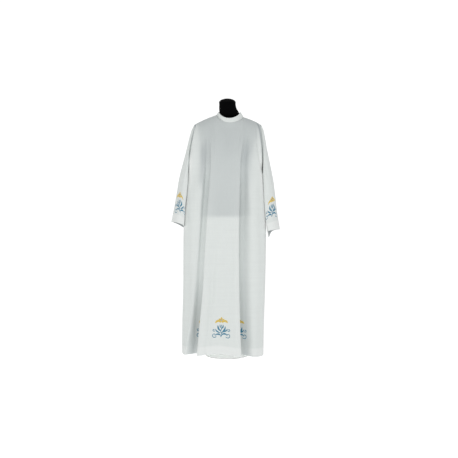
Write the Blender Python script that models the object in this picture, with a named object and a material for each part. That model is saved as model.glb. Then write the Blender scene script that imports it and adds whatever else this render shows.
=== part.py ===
"""An alb, a long white robe with a stand collar and wide sleeves, hanging on a limbless dress form.

The cloth is cut as a front, two back halves, two sleeves and a collar band, and every piece is a thin
wall with its own seam edges. Under it stand the padded torso, its neck cap, the pole and the base plate.
+X is to the right of someone who faces the robe, -Y is its front, and the base plate lies on Z = 0.
"""

import math

import bmesh
import bpy
import numpy as np

for old_object in list(bpy.data.objects):
    bpy.data.objects.remove(old_object)

# ---- Driving sizes, in metres ----

CLOTH = 0.0016            # the wall of one layer
TURNED = 0.0028           # hem and cuff, where the cloth is turned up and stitched
COLLAR_CLOTH = 0.0026     # the collar band is two layers
SEAM_GAP = 0.0003
HEM_BAND = 0.045
CUFF_BAND = 0.045

HEM_HEIGHT = 0.030
UNDERARM_HEIGHT = 1.155
SKIRT_ROWS = 16
ARMHOLE_ROWS = 8

SHOULDER_TIP = {"left": (-0.204, 0.0, 1.4355), "right": (0.2135, 0.0, 1.435)}
NECK_POINT = {"left": (-0.0656, 0.0, 1.4975), "right": (0.1035, 0.0, 1.4835)}
SHOULDER_ROUND = 0.004
NECK_FRONT = (0.017, -0.080, 1.4360)
NECK_BACK = (0.019, 0.070, 1.482)

COLLAR_TOP_SIDE = {"left": (-0.0525, -0.004, 1.5170), "right": (0.0840, -0.004, 1.5155)}
COLLAR_TOP_FRONT = (0.0135, -0.072, 1.4640)
COLLAR_TOP_BACK = (0.0150, 0.062, 1.5090)
COLLAR_ROWS = 3
COLLAR_SLIT = 0.0012

BACK_SLIT_HEIGHT = 1.215   # above it the two back halves hang side by side, unsewn
BACK_SLIT_GAP = 0.0012

BUTTON_RADIUS = 0.0060
BUTTON_THICK = 0.0026
BUTTON_SIDES = 20
BUTTON_STAND_OFF = 0.0006
# Shares of the radius and of the thickness, from the underside up.
BUTTON_PROFILE = ((0.80, 0.0), (1.0, 0.25), (1.0, 0.75), (0.88, 1.0), (0.62, 0.86))

# ---- The body, section by section ----
# Widths are measured from the middle of the form, depths from its middle plane. A ridge is the free edge
# of a fold that laps over the cloth beside it, and a crest is the front of the cloth that it laps over.

SECTION_COLUMNS = ("height", "side_left", "crest_left", "ridge_left", "ridge_right", "crest_right",
                   "side_right", "depth", "crest_depth", "hollow")
FRONT_SECTIONS = (
    (0.030, -0.281, -0.252, -0.179, 0.085, 0.158, 0.225, 0.192, 0.156, 0.026),
    (0.190, -0.277, -0.224, -0.165, 0.079, 0.157, 0.228, 0.186, 0.150, 0.020),
    (0.420, -0.270, -0.196, -0.144, 0.073, 0.152, 0.235, 0.176, 0.147, 0.012),
    (0.660, -0.268, -0.174, -0.131, 0.072, 0.150, 0.240, 0.163, 0.143, 0.007),
    (0.800, -0.266, -0.165, -0.123, 0.073, 0.148, 0.241, 0.154, 0.140, 0.004),
    (0.970, -0.253, -0.156, -0.111, 0.077, 0.142, 0.234, 0.143, 0.134, 0.001),
    (1.155, -0.236, -0.140, -0.096, 0.079, 0.132, 0.219, 0.132, 0.124, -0.003),
)
BACK_SECTIONS = (
    (0.030, -0.281, -0.212, -0.128, 0.098, 0.158, 0.225, 0.178, 0.150, 0.018),
    (0.190, -0.277, -0.204, -0.124, 0.093, 0.156, 0.228, 0.172, 0.147, 0.014),
    (0.420, -0.270, -0.192, -0.118, 0.086, 0.152, 0.235, 0.163, 0.143, 0.008),
    (0.660, -0.268, -0.180, -0.112, 0.081, 0.148, 0.240, 0.152, 0.137, 0.004),
    (0.800, -0.266, -0.172, -0.108, 0.080, 0.146, 0.241, 0.144, 0.132, 0.002),
    (0.970, -0.253, -0.158, -0.101, 0.082, 0.140, 0.234, 0.132, 0.123, 0.000),
    (1.155, -0.236, -0.142, -0.094, 0.084, 0.132, 0.219, 0.120, 0.112, -0.003),
)
SECTIONS = {"front": FRONT_SECTIONS, "back": BACK_SECTIONS}

# How deep each fold laps at the hem, how far its layers stand apart, between which heights it first grows and
# the share of its whole size that it has then. It grows on to its whole size between the skirt's heights.
FOLD_COLUMNS = ("panel", "side", "lap", "layer", "starts", "full", "chest")
FOLDS = (
    ("front", "left", 0.072, 0.0255, 1.38, 1.00, 0.47),
    ("front", "right", 0.066, 0.0235, 1.38, 0.92, 0.67),
    ("back", "left", 0.060, 0.0190, 1.33, 0.86, 0.60),
    ("back", "right", 0.056, 0.0185, 1.31, 0.88, 0.62),
)

SKIRT_GROWTH = (0.62, 0.05)

# The line of cloth through a fold, from the panel round its ridge, back under it and out at the recess.
# flat is where a point lies above the fold, in metres from the ridge; lap and layer are in units of the fold.
PROFILE_COLUMNS = ("name", "flat", "lap", "layer")
FOLD_PROFILE = (
    ("panel_edge", -0.014, -0.34, 0.00),
    ("ridge", 0.000, 0.00, 0.45),
    ("under_ridge", 0.006, -0.30, 1.00),
    ("tuck_in", 0.011, -0.78, 1.45),
    ("tuck_turn", 0.016, -1.00, 2.00),
    ("tuck_out", 0.021, -0.72, 2.55),
    ("recess", 0.029, 0.30, 2.70),
)
TOP_EDGE = {"side": 0.0, "corner": 0.14, "crest": 0.40, "recess": 0.56, "tuck_out": 0.62, "tuck_turn": 0.67,
            "tuck_in": 0.72, "under_ridge": 0.77, "ridge": 0.84, "panel_edge": 1.0}
SPAN_STEPS = {"side": 2, "corner": 3, "crest": 2, "recess": 2, "tuck_out": 2, "tuck_turn": 2, "tuck_in": 2,
              "under_ridge": 2, "ridge": 2, "panel": 3}
CORNER_INSET = 0.010       # how far the front corner of a section lies inside its side
CORNER_DEPTH = 0.68        # and how far forward, as a share of the crest's depth

# The hem's lower edge rises a little at the middle of each panel and hangs lowest at the right side.
HEM_RISE = {"front": {"side_left": 0.002, "ridge_left": 0.003, "middle": 0.012, "ridge_right": -0.004,
                      "side_right": -0.016},
            "back": {"side_left": 0.002, "ridge_left": 0.004, "middle": 0.008, "ridge_right": 0.000,
                     "side_right": -0.016}}
HEM_RISE_REACH = 0.50

# How the cloth leaves the chest and the underarm, and how it comes over the shoulder, to the neckline and to
# the shoulder tip: out from the middle plane, and up.
LEAVE_CHEST = np.array((0.0, 0.0, 0.30))
LEAVE_UNDERARM = np.array((0.0, 0.24, 0.16))
OVER_SHOULDER = np.array((0.0, 0.27, 0.03))
OVER_NECK = np.array((0.0, 0.06, 0.15))
OVER_TIP = np.array((0.0, 0.15, 0.12))

# ---- The sleeves, section by section from the armhole to the cuff ----
# outer and inner are the two folds that show from the front, half_depth and middle run front to back, and
# lean brings the front of the section towards the body.

SLEEVE_COLUMNS = ("outer_x", "outer_z", "inner_x", "inner_z", "half_depth", "middle", "lean")
SLEEVE_LEFT = (
    (-0.204, 1.4355, -0.236, 1.155, 0.062, 0.000, 0.00),
    (-0.225, 1.390, -0.243, 1.118, 0.073, -0.004, 0.02),
    (-0.2485, 1.290, -0.2470, 1.070, 0.084, -0.010, 0.09),
    (-0.2725, 1.195, -0.2515, 1.020, 0.090, -0.016, 0.19),
    (-0.294, 1.105, -0.2560, 0.970, 0.093, -0.022, 0.24),
    (-0.308, 1.015, -0.2622, 0.920, 0.095, -0.027, 0.28),
    (-0.325, 0.925, -0.2668, 0.865, 0.097, -0.031, 0.32),
    (-0.345, 0.829, -0.2712, 0.796, 0.099, -0.034, 0.35),
)
SLEEVE_RIGHT = (
    (0.2135, 1.435, 0.219, 1.155, 0.062, 0.000, 0.00),
    (0.231, 1.390, 0.2260, 1.115, 0.073, -0.004, 0.04),
    (0.249, 1.285, 0.2300, 1.062, 0.084, -0.010, 0.15),
    (0.270, 1.180, 0.2350, 1.008, 0.090, -0.015, 0.22),
    (0.288, 1.085, 0.2395, 0.952, 0.093, -0.020, 0.27),
    (0.301, 0.985, 0.2425, 0.895, 0.095, -0.024, 0.30),
    (0.312, 0.885, 0.2455, 0.834, 0.097, -0.028, 0.31),
    (0.329, 0.782, 0.2580, 0.768, 0.099, -0.030, 0.32),
)
SLEEVE_STEPS = 17
SLEEVE_SQUARE = 0.85
CUFF_BACK_DROP = {"left": 0.004, "right": 0.036}   # how much lower the cuff hangs behind, next to the body
CUFF_DROP_TURN = 1.84 * math.pi
CUFF_DROP_POINT = 5.0   # the higher, the narrower is the part that hangs lower
SLEEVE_DENT = {"left": 0.010, "right": 0.008}   # how far the cuff's front wall is dented between its folds
DENT_TURN = 1.70
DENT_WIDTH = 0.42
SLEEVE_LENGTH = 0.62

# ---- The dress form ----

FORM_COLUMNS = ("height", "half_width", "half_depth", "shift_x", "shift_y")
FORM_SECTIONS = (
    (0.857, 0.156, 0.096, -0.008, 0.000),
    (0.862, 0.160, 0.100, -0.008, 0.000),
    (0.905, 0.163, 0.103, -0.008, 0.000),
    (0.985, 0.159, 0.097, -0.008, 0.000),
    (1.075, 0.154, 0.091, -0.008, 0.000),
    (1.165, 0.157, 0.096, -0.006, 0.000),
    (1.255, 0.165, 0.100, -0.001, 0.000),
    (1.325, 0.175, 0.093, 0.004, 0.002),
    (1.375, 0.182, 0.078, 0.006, 0.004),
    (1.410, 0.187, 0.060, 0.006, 0.004),
    (1.4270, 0.1885, 0.050, 0.006, 0.003),
    (1.4350, 0.1885, 0.046, 0.0050, 0.002),
    (1.4440, 0.1857, 0.040, 0.0043, 0.001),
    (1.4500, 0.1745, 0.038, 0.0045, 0.000),
    (1.4590, 0.1553, 0.030, 0.0040, 0.000),
    (1.4740, 0.1100, 0.025, 0.0020, 0.000),
    (1.4830, 0.0780, 0.031, 0.0060, 0.000),
    (1.4900, 0.0680, 0.042, 0.0120, 0.000),
    (1.5030, 0.0625, 0.046, 0.0140, 0.000),
    (1.5170, 0.0600, 0.0475, 0.0120, 0.000),
    (1.5360, 0.0550, 0.047, 0.0055, 0.000),
    (1.5540, 0.0525, 0.047, 0.0035, 0.000),
    (1.5700, 0.0515, 0.047, 0.0025, 0.000),
)
FORM_SIDES = 28
CAP_RIM = 0.0012
CAP_EDGE_HEIGHT = 0.0035
CAP_TOP = 1.598
CAP_TURNS = (18, 36, 54, 70, 84)   # degrees up the dome, one for each of its rings
POLE_RADIUS = 0.0125
SOCKET_RADIUS = 0.024
SOCKET_HEIGHT = 0.028
BASE_RADIUS = 0.135
BASE_THICK = 0.006
HUB_RADIUS = 0.026
HUB_HEIGHT = 0.030
PART_GAP = 0.0003


def blend(a, b, share):
    return a * (1.0 - share) + b * share


def ease(share):
    share = min(max(share, 0.0), 1.0)
    return share * share * (3.0 - 2.0 * share)


def spline(points, steps):
    """A smooth line through the points; steps holds how many pieces each span is divided into."""
    points = [np.asarray(p, dtype=float) for p in points]
    padded = [2 * points[0] - points[1]] + points + [2 * points[-1] - points[-2]]
    line = []
    for i, count in enumerate(steps):
        p0, p1, p2, p3 = padded[i:i + 4]
        t0 = 0.0
        t1 = t0 + max(np.linalg.norm(p1 - p0), 1e-6) ** 0.5
        t2 = t1 + max(np.linalg.norm(p2 - p1), 1e-6) ** 0.5
        t3 = t2 + max(np.linalg.norm(p3 - p2), 1e-6) ** 0.5
        for k in range(count):
            t = t1 + (t2 - t1) * k / count
            a1 = (t1 - t) / (t1 - t0) * p0 + (t - t0) / (t1 - t0) * p1
            a2 = (t2 - t) / (t2 - t1) * p1 + (t - t1) / (t2 - t1) * p2
            a3 = (t3 - t) / (t3 - t2) * p2 + (t - t2) / (t3 - t2) * p3
            b1 = (t2 - t) / (t2 - t0) * a1 + (t - t0) / (t2 - t0) * a2
            b2 = (t3 - t) / (t3 - t1) * a2 + (t - t1) / (t3 - t1) * a3
            line.append((t2 - t) / (t2 - t1) * b1 + (t - t1) / (t2 - t1) * b2)
    line.append(points[-1])
    return np.array(line)


def read_section(panel, height):
    """A panel's section at one height, smoothly between the rows of its table."""
    rows = np.array(SECTIONS[panel])
    heights = rows[:, 0]
    values = {"height": height}
    slopes = np.gradient(rows, heights, axis=0)
    i = int(np.clip(np.searchsorted(heights, height) - 1, 0, len(heights) - 2))
    step = heights[i + 1] - heights[i]
    s = min(max((height - heights[i]) / step, 0.0), 1.0)
    h00 = 2 * s ** 3 - 3 * s ** 2 + 1
    h10 = s ** 3 - 2 * s ** 2 + s
    h01 = 3 * s ** 2 - 2 * s ** 3
    h11 = s ** 3 - s ** 2
    row = h00 * rows[i] + h10 * step * slopes[i] + h01 * rows[i + 1] + h11 * step * slopes[i + 1]
    for column, value in zip(SECTION_COLUMNS[1:], row[1:]):
        values[column] = float(value)
    return values


# ---- Body panels: a grid of points, rows from the hem up, columns from left to right ----

def fold_growth(fold, height):
    """The share of its whole size that a fold has at one height."""
    first = ease((fold["starts"] - height) / (fold["starts"] - fold["full"]))
    then = ease((SKIRT_GROWTH[0] - height) / (SKIRT_GROWTH[0] - SKIRT_GROWTH[1]))
    return fold["chest"] * first + (1.0 - fold["chest"]) * then


def fold_points(section, fold, height, facing):
    """The points of one fold at one height, from its panel outwards; facing is +1 or -1 along X."""
    grown = fold_growth(fold, height)
    ridge = section["ridge_" + fold["side"]]
    points = []
    for name, flat, lap, layer in FOLD_PROFILE:
        across = blend(flat, lap * fold["lap"], grown ** 2)
        into = layer * fold["layer"] * grown
        x = ridge + facing * across
        away = abs(x - ridge) / max(abs(section["crest_" + fold["side"]] - ridge), 0.01)
        surface = blend(section["depth"], section["crest_depth"], min(away, 1.0) ** 2 * (1.0 - grown))
        points.append((name, x, surface - into))
    return points


def panel_points(panel, height):
    """Named points of a panel's section from left to right: name, x, depth, place on the top edge, side."""
    section = read_section(panel, height)
    folds = {row[1]: dict(zip(FOLD_COLUMNS, row)) for row in FOLDS if row[0] == panel}
    halves = {}
    for side, facing in (("left", -1), ("right", 1)):
        edge = section["side_" + side]
        corner = edge - facing * CORNER_INSET
        half = [("side", edge, 0.0), ("corner", corner, CORNER_DEPTH * section["crest_depth"]),
                ("crest", section["crest_" + side], section["crest_depth"])]
        half += reversed(fold_points(section, folds[side], height, facing))
        halves[side] = half
    left_edge = halves["left"][-1]
    right_edge = halves["right"][-1]
    middle = []
    for share in (0.25, 0.5, 0.75):
        x = blend(left_edge[1], right_edge[1], share)
        dip = section["hollow"] * math.sin(math.pi * share)
        middle.append(("panel", x, section["depth"] - dip))
    points = [(name, x, d, TOP_EDGE[name], "left") for name, x, d in halves["left"]]
    points += [(n, x, d, 1.25 + 0.25 * i, "middle") for i, (n, x, d) in enumerate(middle)]
    points += [(name, x, d, 3.0 - TOP_EDGE[name], "right") for name, x, d in reversed(halves["right"])]
    return points


def span_steps(points):
    steps = []
    for left, right in zip(points[:-1], points[1:]):
        if "panel" in (left[0], right[0]):
            steps.append(SPAN_STEPS["panel"])
        else:
            outer = left if left[4] == "left" else right
            steps.append(SPAN_STEPS[outer[0]])
    return steps


def top_edge(panel, place):
    """A point of the panel's top edge: 0 to 1 left shoulder seam, 1 to 2 neckline, 2 to 3 right shoulder."""
    if place <= 1.0:
        lift = np.array((0.0, 0.0, SHOULDER_ROUND * math.sin(math.pi * place)))
        return blend(np.array(SHOULDER_TIP["left"]), np.array(NECK_POINT["left"]), place) + lift
    if place >= 2.0:
        lift = np.array((0.0, 0.0, SHOULDER_ROUND * math.sin(math.pi * (place - 2.0))))
        return blend(np.array(NECK_POINT["right"]), np.array(SHOULDER_TIP["right"]), place - 2.0) + lift
    turn = math.pi * (place - 1.0)
    middle = np.array(NECK_FRONT if panel == "front" else NECK_BACK)
    left = np.array(NECK_POINT["left"])
    right = np.array(NECK_POINT["right"])
    side = left if place < 1.5 else right
    ends = blend(left, right, 0.5 - 0.5 * math.cos(turn))
    x = middle[0] + (side[0] - middle[0]) * abs(math.cos(turn))
    y = middle[1] * math.sin(turn)
    z = ends[2] + (middle[2] - ends[2]) * math.sin(turn) ** 1.4
    return np.array((x, y, z))


def hem_rise(panel, x, section):
    rise = HEM_RISE[panel]
    marks = ("side_left", "ridge_left", "middle", "ridge_right", "side_right")
    section = dict(section, middle=0.5 * (section["ridge_left"] + section["ridge_right"]))
    return float(np.interp(x, [section[m] for m in marks], [rise[m] for m in marks]))


def skirt_heights():
    """Heights of the rows from the hem to the underarm, with two rows where the turned hem ends."""
    band_top = HEM_HEIGHT + HEM_BAND
    rest = np.linspace(band_top + 0.002, UNDERARM_HEIGHT, SKIRT_ROWS - 2)
    return [HEM_HEIGHT, band_top] + [float(z) for z in rest]


def body_grid(panel):
    """Outer points of a panel, as rows x columns x 3, and each column's place on the top edge."""
    toward = -1.0 if panel == "front" else 1.0
    rows = []
    for height in skirt_heights():
        points = panel_points(panel, height)
        steps = span_steps(points)
        line = spline([(p[1], toward * p[2]) for p in points], steps)
        section = read_section(panel, height)
        near_hem = ease(1.0 - (height - HEM_HEIGHT) / HEM_RISE_REACH)
        rows.append([(x, y, height + near_hem * hem_rise(panel, x, section)) for x, y in line])
    places = []
    for left, right, count in zip(points[:-1], points[1:], steps):
        places += [blend(left[3], right[3], k / count) for k in range(count)]
    places.append(points[-1][3])
    grid = [np.array(row) for row in rows]
    start = grid[-1]
    end = np.array([top_edge(panel, place) for place in places])
    for j in range(1, ARMHOLE_ROWS + 1):
        s = j / ARMHOLE_ROWS
        h00 = 2 * s ** 3 - 3 * s ** 2 + 1
        h10 = s ** 3 - 2 * s ** 2 + s
        h01 = 3 * s ** 2 - 2 * s ** 3
        h11 = s ** 3 - s ** 2
        row = []
        for place, low, high in zip(places, start, end):
            edge = min(place, 3.0 - place)
            at_side = ease(1.0 - edge / TOP_EDGE["corner"])
            at_neck = ease((edge - 1.0) / 0.5)
            leave = blend(LEAVE_CHEST, LEAVE_UNDERARM, at_side) * (1.0, toward, 1.0)
            over = blend(blend(OVER_SHOULDER, OVER_NECK, at_neck), OVER_TIP, at_side) * (1.0, -toward, 1.0)
            row.append(h00 * low + h10 * leave + h01 * high + h11 * over)
        grid.append(np.array(row))
    return np.array(grid), places


def grid_normals(grid, closed=False, outward=None):
    """Unit normals of a grid of points; closed means that the columns run round a tube."""
    if closed:
        across = np.roll(grid, -1, axis=1) - np.roll(grid, 1, axis=1)
    else:
        across = np.gradient(grid, axis=1)
    along = np.gradient(grid, axis=0)
    normals = np.cross(across, along)
    normals /= np.linalg.norm(normals, axis=2, keepdims=True)
    if outward is not None:
        middle = normals[normals.shape[0] // 2, normals.shape[1] // 2]
        if float(np.dot(middle, outward)) < 0.0:
            normals = -normals
    return normals


def unit(vectors):
    return vectors / np.linalg.norm(vectors, axis=-1, keepdims=True)


def pull_edge(line, normals, neighbours, gap):
    """Moves a seam line into its own sheet, towards its neighbours, by the gap and square to the seam."""
    into = unit(np.cross(normals, np.gradient(line, axis=0)))
    sign = np.sign(np.sum(into * (neighbours - line), axis=1, keepdims=True))
    line += into * sign * gap


def wall_object(name, grid, normals, thickness, material, closed=False):
    """A cloth wall: the grid is its outer face, and the inner face lies a thickness behind it."""
    rows, columns = grid.shape[:2]
    inner = grid - normals * thickness[:, None, None]
    points = np.concatenate([grid.reshape(-1, 3), inner.reshape(-1, 3)])
    behind = rows * columns
    faces = []
    spans = columns if closed else columns - 1
    for r in range(rows - 1):
        for c in range(spans):
            d = (c + 1) % columns
            a, b, e, f = r * columns + c, r * columns + d, (r + 1) * columns + d, (r + 1) * columns + c
            faces.append((a, b, e, f))
            faces.append((f + behind, e + behind, b + behind, a + behind))
    for c in range(spans):
        d = (c + 1) % columns
        low_a, low_b = c, d
        high_a, high_b = (rows - 1) * columns + c, (rows - 1) * columns + d
        faces.append((low_b, low_a, low_a + behind, low_b + behind))
        faces.append((high_a, high_b, high_b + behind, high_a + behind))
    if not closed:
        for r in range(rows - 1):
            left_a, left_b = r * columns, (r + 1) * columns
            right_a, right_b = r * columns + columns - 1, (r + 1) * columns + columns - 1
            faces.append((left_a, left_b, left_b + behind, left_a + behind))
            faces.append((right_b, right_a, right_a + behind, right_b + behind))
    return mesh_object(name, points, faces, material)


def mesh_object(name, points, faces, material):
    mesh = bpy.data.meshes.new(name)
    mesh.from_pydata([tuple(p) for p in points], [], faces)
    work = bmesh.new()
    work.from_mesh(mesh)
    bmesh.ops.recalc_face_normals(work, faces=work.faces)
    bmesh.ops.triangulate(work, faces=[f for f in work.faces if len(f.verts) > 3], quad_method="SHORT_EDGE")
    work.to_mesh(mesh)
    work.free()
    mesh.shade_smooth()
    mesh.set_sharp_from_angle(angle=math.radians(50))
    mesh.materials.append(material)
    thing = bpy.data.objects.new(name, mesh)
    bpy.context.scene.collection.objects.link(thing)
    return thing


def make_material(name, colour, roughness, metallic=0.0):
    material = bpy.data.materials.new(name)
    material.use_nodes = True
    shader = material.node_tree.nodes["Principled BSDF"]
    shader.inputs["Base Color"].default_value = (*colour, 1.0)
    shader.inputs["Roughness"].default_value = roughness
    shader.inputs["Metallic"].default_value = metallic
    return material


WHITE_CLOTH = make_material("white_polyester", (0.80, 0.83, 0.82), 0.62)
BUTTON_PLASTIC = make_material("button_plastic", (0.86, 0.87, 0.85), 0.35)
BLACK_JERSEY = make_material("black_jersey", (0.012, 0.012, 0.013), 0.85)
BLACK_CAP = make_material("black_cap", (0.010, 0.010, 0.011), 0.45)
STAND_STEEL = make_material("stand_steel", (0.62, 0.63, 0.64), 0.30, 1.0)
BASE_PAINT = make_material("base_paint", (0.78, 0.78, 0.77), 0.45)


def body_thickness(rows):
    thickness = np.full(rows, CLOTH)
    thickness[:2] = TURNED
    return thickness


def squared(value):
    """A sine or cosine that makes a ring a little squarer than an ellipse."""
    return math.copysign(abs(value) ** SLEEVE_SQUARE, value)


def sleeve_grid(table, side, armhole):
    """Outer points of a sleeve: rows from armhole to cuff, columns round from the underarm by the front."""
    rows = np.array(table)
    count = armhole.shape[0]
    keys = np.linspace(0.0, 1.0, len(rows))
    turns = [math.tau * i / count for i in range(count)]
    toward_body = 1.0 if side == "left" else -1.0
    grid = []
    band_start = 1.0 - CUFF_BAND / SLEEVE_LENGTH
    steps = [i / (SLEEVE_STEPS - 2) * band_start for i in range(SLEEVE_STEPS - 1)] + [band_start + 0.004, 1.0]
    for share in steps:
        i = min(int(share * (len(rows) - 1)), len(rows) - 2)
        s = (share - keys[i]) / (keys[i + 1] - keys[i])
        slopes = np.gradient(rows, axis=0)
        h00 = 2 * s ** 3 - 3 * s ** 2 + 1
        h10 = s ** 3 - 2 * s ** 2 + s
        h01 = 3 * s ** 2 - 2 * s ** 3
        h11 = s ** 3 - s ** 2
        row = h00 * rows[i] + h10 * slopes[i] + h01 * rows[i + 1] + h11 * slopes[i + 1]
        section = dict(zip(SLEEVE_COLUMNS, row))
        ring = []
        for turn in turns:
            across = 0.5 - 0.5 * squared(math.cos(turn))
            x = blend(section["inner_x"], section["outer_x"], across)
            z = blend(section["inner_z"], section["outer_z"], across)
            y = section["middle"] - section["half_depth"] * squared(math.sin(turn))
            x += toward_body * section["lean"] * section["half_depth"] * max(math.sin(turn), 0.0) ** 1.4
            low = max(math.cos(turn - CUFF_DROP_TURN), 0.0) ** CUFF_DROP_POINT
            z -= CUFF_BACK_DROP[side] * share ** 2 * low
            dent = SLEEVE_DENT[side] * share * math.exp(-((turn - DENT_TURN) / DENT_WIDTH) ** 2)
            y += dent
            ring.append((x, y, z))
        grid.append(ring)
    grid = np.array(grid)
    shares = np.array(steps)
    grid += (armhole - grid[0])[None, :, :] * ((1.0 - shares) ** 3)[:, None, None]
    return grid


def build_robe():
    front, places = body_grid("front")
    back, _ = body_grid("back")
    front_normals = grid_normals(front, outward=(0, -1, 0))
    back_normals = grid_normals(back, outward=(0, 1, 0))
    joint_row = SKIRT_ROWS - 1

    # Side seams, below the armholes.
    for column in (0, -1):
        shared = unit(front_normals[:joint_row + 1, column] + back_normals[:joint_row + 1, column])
        front_normals[:joint_row + 1, column] = shared
        back_normals[:joint_row + 1, column] = shared

    # Sleeves share the armhole edges, and the three cloths share one normal there.
    sleeves = {}
    for side, column, table in (("left", 0, SLEEVE_LEFT), ("right", -1, SLEEVE_RIGHT)):
        up_front = front[joint_row:, column]
        down_back = back[joint_row:, column][::-1]
        armhole = np.concatenate([up_front, down_back[1:-1]])
        grid = sleeve_grid(table, side, armhole)
        normals = grid_normals(grid, closed=True)
        if float(np.dot(normals[-1, ARMHOLE_ROWS // 2], (0, -1, 0))) < 0.0:
            normals = -normals
        edge_front = front_normals[joint_row:, column]
        edge_back = back_normals[joint_row:, column][::-1]
        body_edge = np.concatenate([edge_front, edge_back[1:-1]])
        body_edge[0] = unit(edge_front[0] + edge_back[-1])
        body_edge[ARMHOLE_ROWS] = unit(edge_front[-1] + edge_back[0])
        shared = unit(normals[0] + body_edge)
        normals[0] = shared
        front_normals[joint_row:, column] = shared[:ARMHOLE_ROWS + 1]
        back_normals[joint_row:, column][::-1] = np.concatenate([shared[ARMHOLE_ROWS:], shared[:1]])
        sleeves[side] = (grid, normals)

    # Shoulder seams: square to the straight line of the shoulder, the same for front and back.
    neck_columns = [i for i, place in enumerate(places) if 1.0 <= place <= 2.0]
    first_neck, last_neck = neck_columns[0], neck_columns[-1]
    for side, columns in (("left", range(1, first_neck)), ("right", range(last_neck + 1, len(places) - 1))):
        slope = np.array(NECK_POINT[side]) - np.array(SHOULDER_TIP[side])
        square = unit(np.array((-slope[2], 0.0, slope[0])))
        square = square if square[2] > 0 else -square
        for column in columns:
            front_normals[-1, column] = square
            back_normals[-1, column] = square

    # The collar band rises from the neckline, and shares its normals with the panels.
    collar, collar_normals = collar_grid(front, back, front_normals, back_normals, first_neck, last_neck)

    gap = SEAM_GAP / 2
    middle = next(i for i, place in enumerate(places) if abs(place - 1.5) < 1e-6)
    for grid, normals in ((front, front_normals), (back, back_normals)):
        for column, inner in ((0, 1), (-1, -2)):
            for rows in (slice(0, joint_row + 1), slice(joint_row, None)):
                neighbours = grid[rows, inner]
                pull_edge(grid[rows, column], normals[rows, column], neighbours, gap)
        for columns in (slice(0, first_neck + 1), slice(first_neck, last_neck + 1), slice(last_neck, None)):
            pull_edge(grid[-1, columns], normals[-1, columns], grid[-2, columns], gap)
    for grid, normals in sleeves.values():
        pull_ring(grid, normals, gap)
    pull_edge(collar[0], collar_normals[0], collar[1], gap)

    wall_object("front_panel", front, front_normals, body_thickness(len(front)), WHITE_CLOTH)
    for name, columns, column, into in (("back_left_panel", slice(0, middle + 1), -1, -1.0),
                                        ("back_right_panel", slice(middle, None), 0, 1.0)):
        half = back[:, columns].copy()
        half_normals = back_normals[:, columns].copy()
        for r in range(len(half)):
            slit = half[r, column, 2] > BACK_SLIT_HEIGHT
            half[r, column, 0] += into * (BACK_SLIT_GAP / 2 if slit else gap)
        wall_object(name, half, half_normals, body_thickness(len(half)), WHITE_CLOTH)
    for side, (grid, normals) in sleeves.items():
        thickness = np.full(len(grid), CLOTH)
        thickness[-2:] = TURNED
        wall_object("sleeve_" + side, grid, normals, thickness, WHITE_CLOTH, closed=True)
    wall_object("collar_band", collar, collar_normals, np.full(len(collar), COLLAR_CLOTH), WHITE_CLOTH)
    return collar


def pull_ring(grid, normals, gap):
    seam = np.roll(grid[0], -1, axis=0) - np.roll(grid[0], 1, axis=0)
    into = unit(np.cross(normals[0], seam))
    sign = np.sign(np.sum(into * (grid[1] - grid[0]), axis=1, keepdims=True))
    grid[0] += into * sign * gap


def collar_grid(front, back, front_normals, back_normals, first_neck, last_neck):
    """Rows up the collar, columns from the centre back by the left, the front and the right."""
    middle = (first_neck + last_neck) // 2
    order = [("back", c) for c in range(middle, first_neck, -1)]
    order += [("front", c) for c in range(first_neck, last_neck + 1)]
    order += [("back", c) for c in range(last_neck - 1, middle - 1, -1)]
    base = np.array([(front if which == "front" else back)[-1, c] for which, c in order])
    top = []
    for (which, c), low in zip(order, base):
        share = (c - first_neck) / (last_neck - first_neck)
        turn = math.pi * share
        side = "left" if share < 0.5 else "right"
        edge = np.array(COLLAR_TOP_SIDE[side])
        centre = np.array(COLLAR_TOP_FRONT if which == "front" else COLLAR_TOP_BACK)
        x = centre[0] + (edge[0] - centre[0]) * abs(math.cos(turn))
        y = edge[1] + (centre[1] - edge[1]) * math.sin(turn)
        level = blend(COLLAR_TOP_SIDE["left"][2], COLLAR_TOP_SIDE["right"][2], 0.5 - 0.5 * math.cos(turn))
        z = level + (centre[2] - level) * math.sin(turn) ** 1.3
        top.append((x, y, z))
    top = np.array(top)
    top[0, 0] -= COLLAR_SLIT / 2
    top[-1, 0] += COLLAR_SLIT / 2
    base = base.copy()
    base[0, 0] -= COLLAR_SLIT / 2
    base[-1, 0] += COLLAR_SLIT / 2
    grid = np.array([blend(base, top, i / COLLAR_ROWS) for i in range(COLLAR_ROWS + 1)])
    normals = grid_normals(grid)
    if normals[1, len(order) // 2, 1] > 0:
        normals = -normals
    for i, (which, c) in enumerate(order):
        panel_normals = front_normals if which == "front" else back_normals
        panel_normal = panel_normals[-1, c]
        if c in (first_neck, last_neck):
            panel_normal = unit(front_normals[-1, c] + back_normals[-1, c])
        shared = unit(panel_normal + normals[0, i])
        normals[0, i] = shared
        panel_normals[-1, c] = shared
        if c in (first_neck, last_neck):
            back_normals[-1, c] = shared
    return grid, normals


def stacked_rings(name, rings, material):
    """A closed piece from rings of points, bottom to top, with as many points in each."""
    sides = len(rings[0])
    points = [point for ring in rings for point in ring]
    faces = []
    for r in range(len(rings) - 1):
        for k in range(sides):
            n = (k + 1) % sides
            faces.append((r * sides + k, r * sides + n, (r + 1) * sides + n, (r + 1) * sides + k))
    faces.append(tuple(reversed(range(sides))))
    faces.append(tuple(range(len(points) - sides, len(points))))
    return mesh_object(name, points, faces, material)


def oval(centre, half_width, half_depth, height, sides):
    """A level ring of points round centre."""
    turns = [math.tau * k / sides for k in range(sides)]
    return [(centre[0] + half_width * math.cos(turn), centre[1] + half_depth * math.sin(turn), height)
            for turn in turns]


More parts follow.
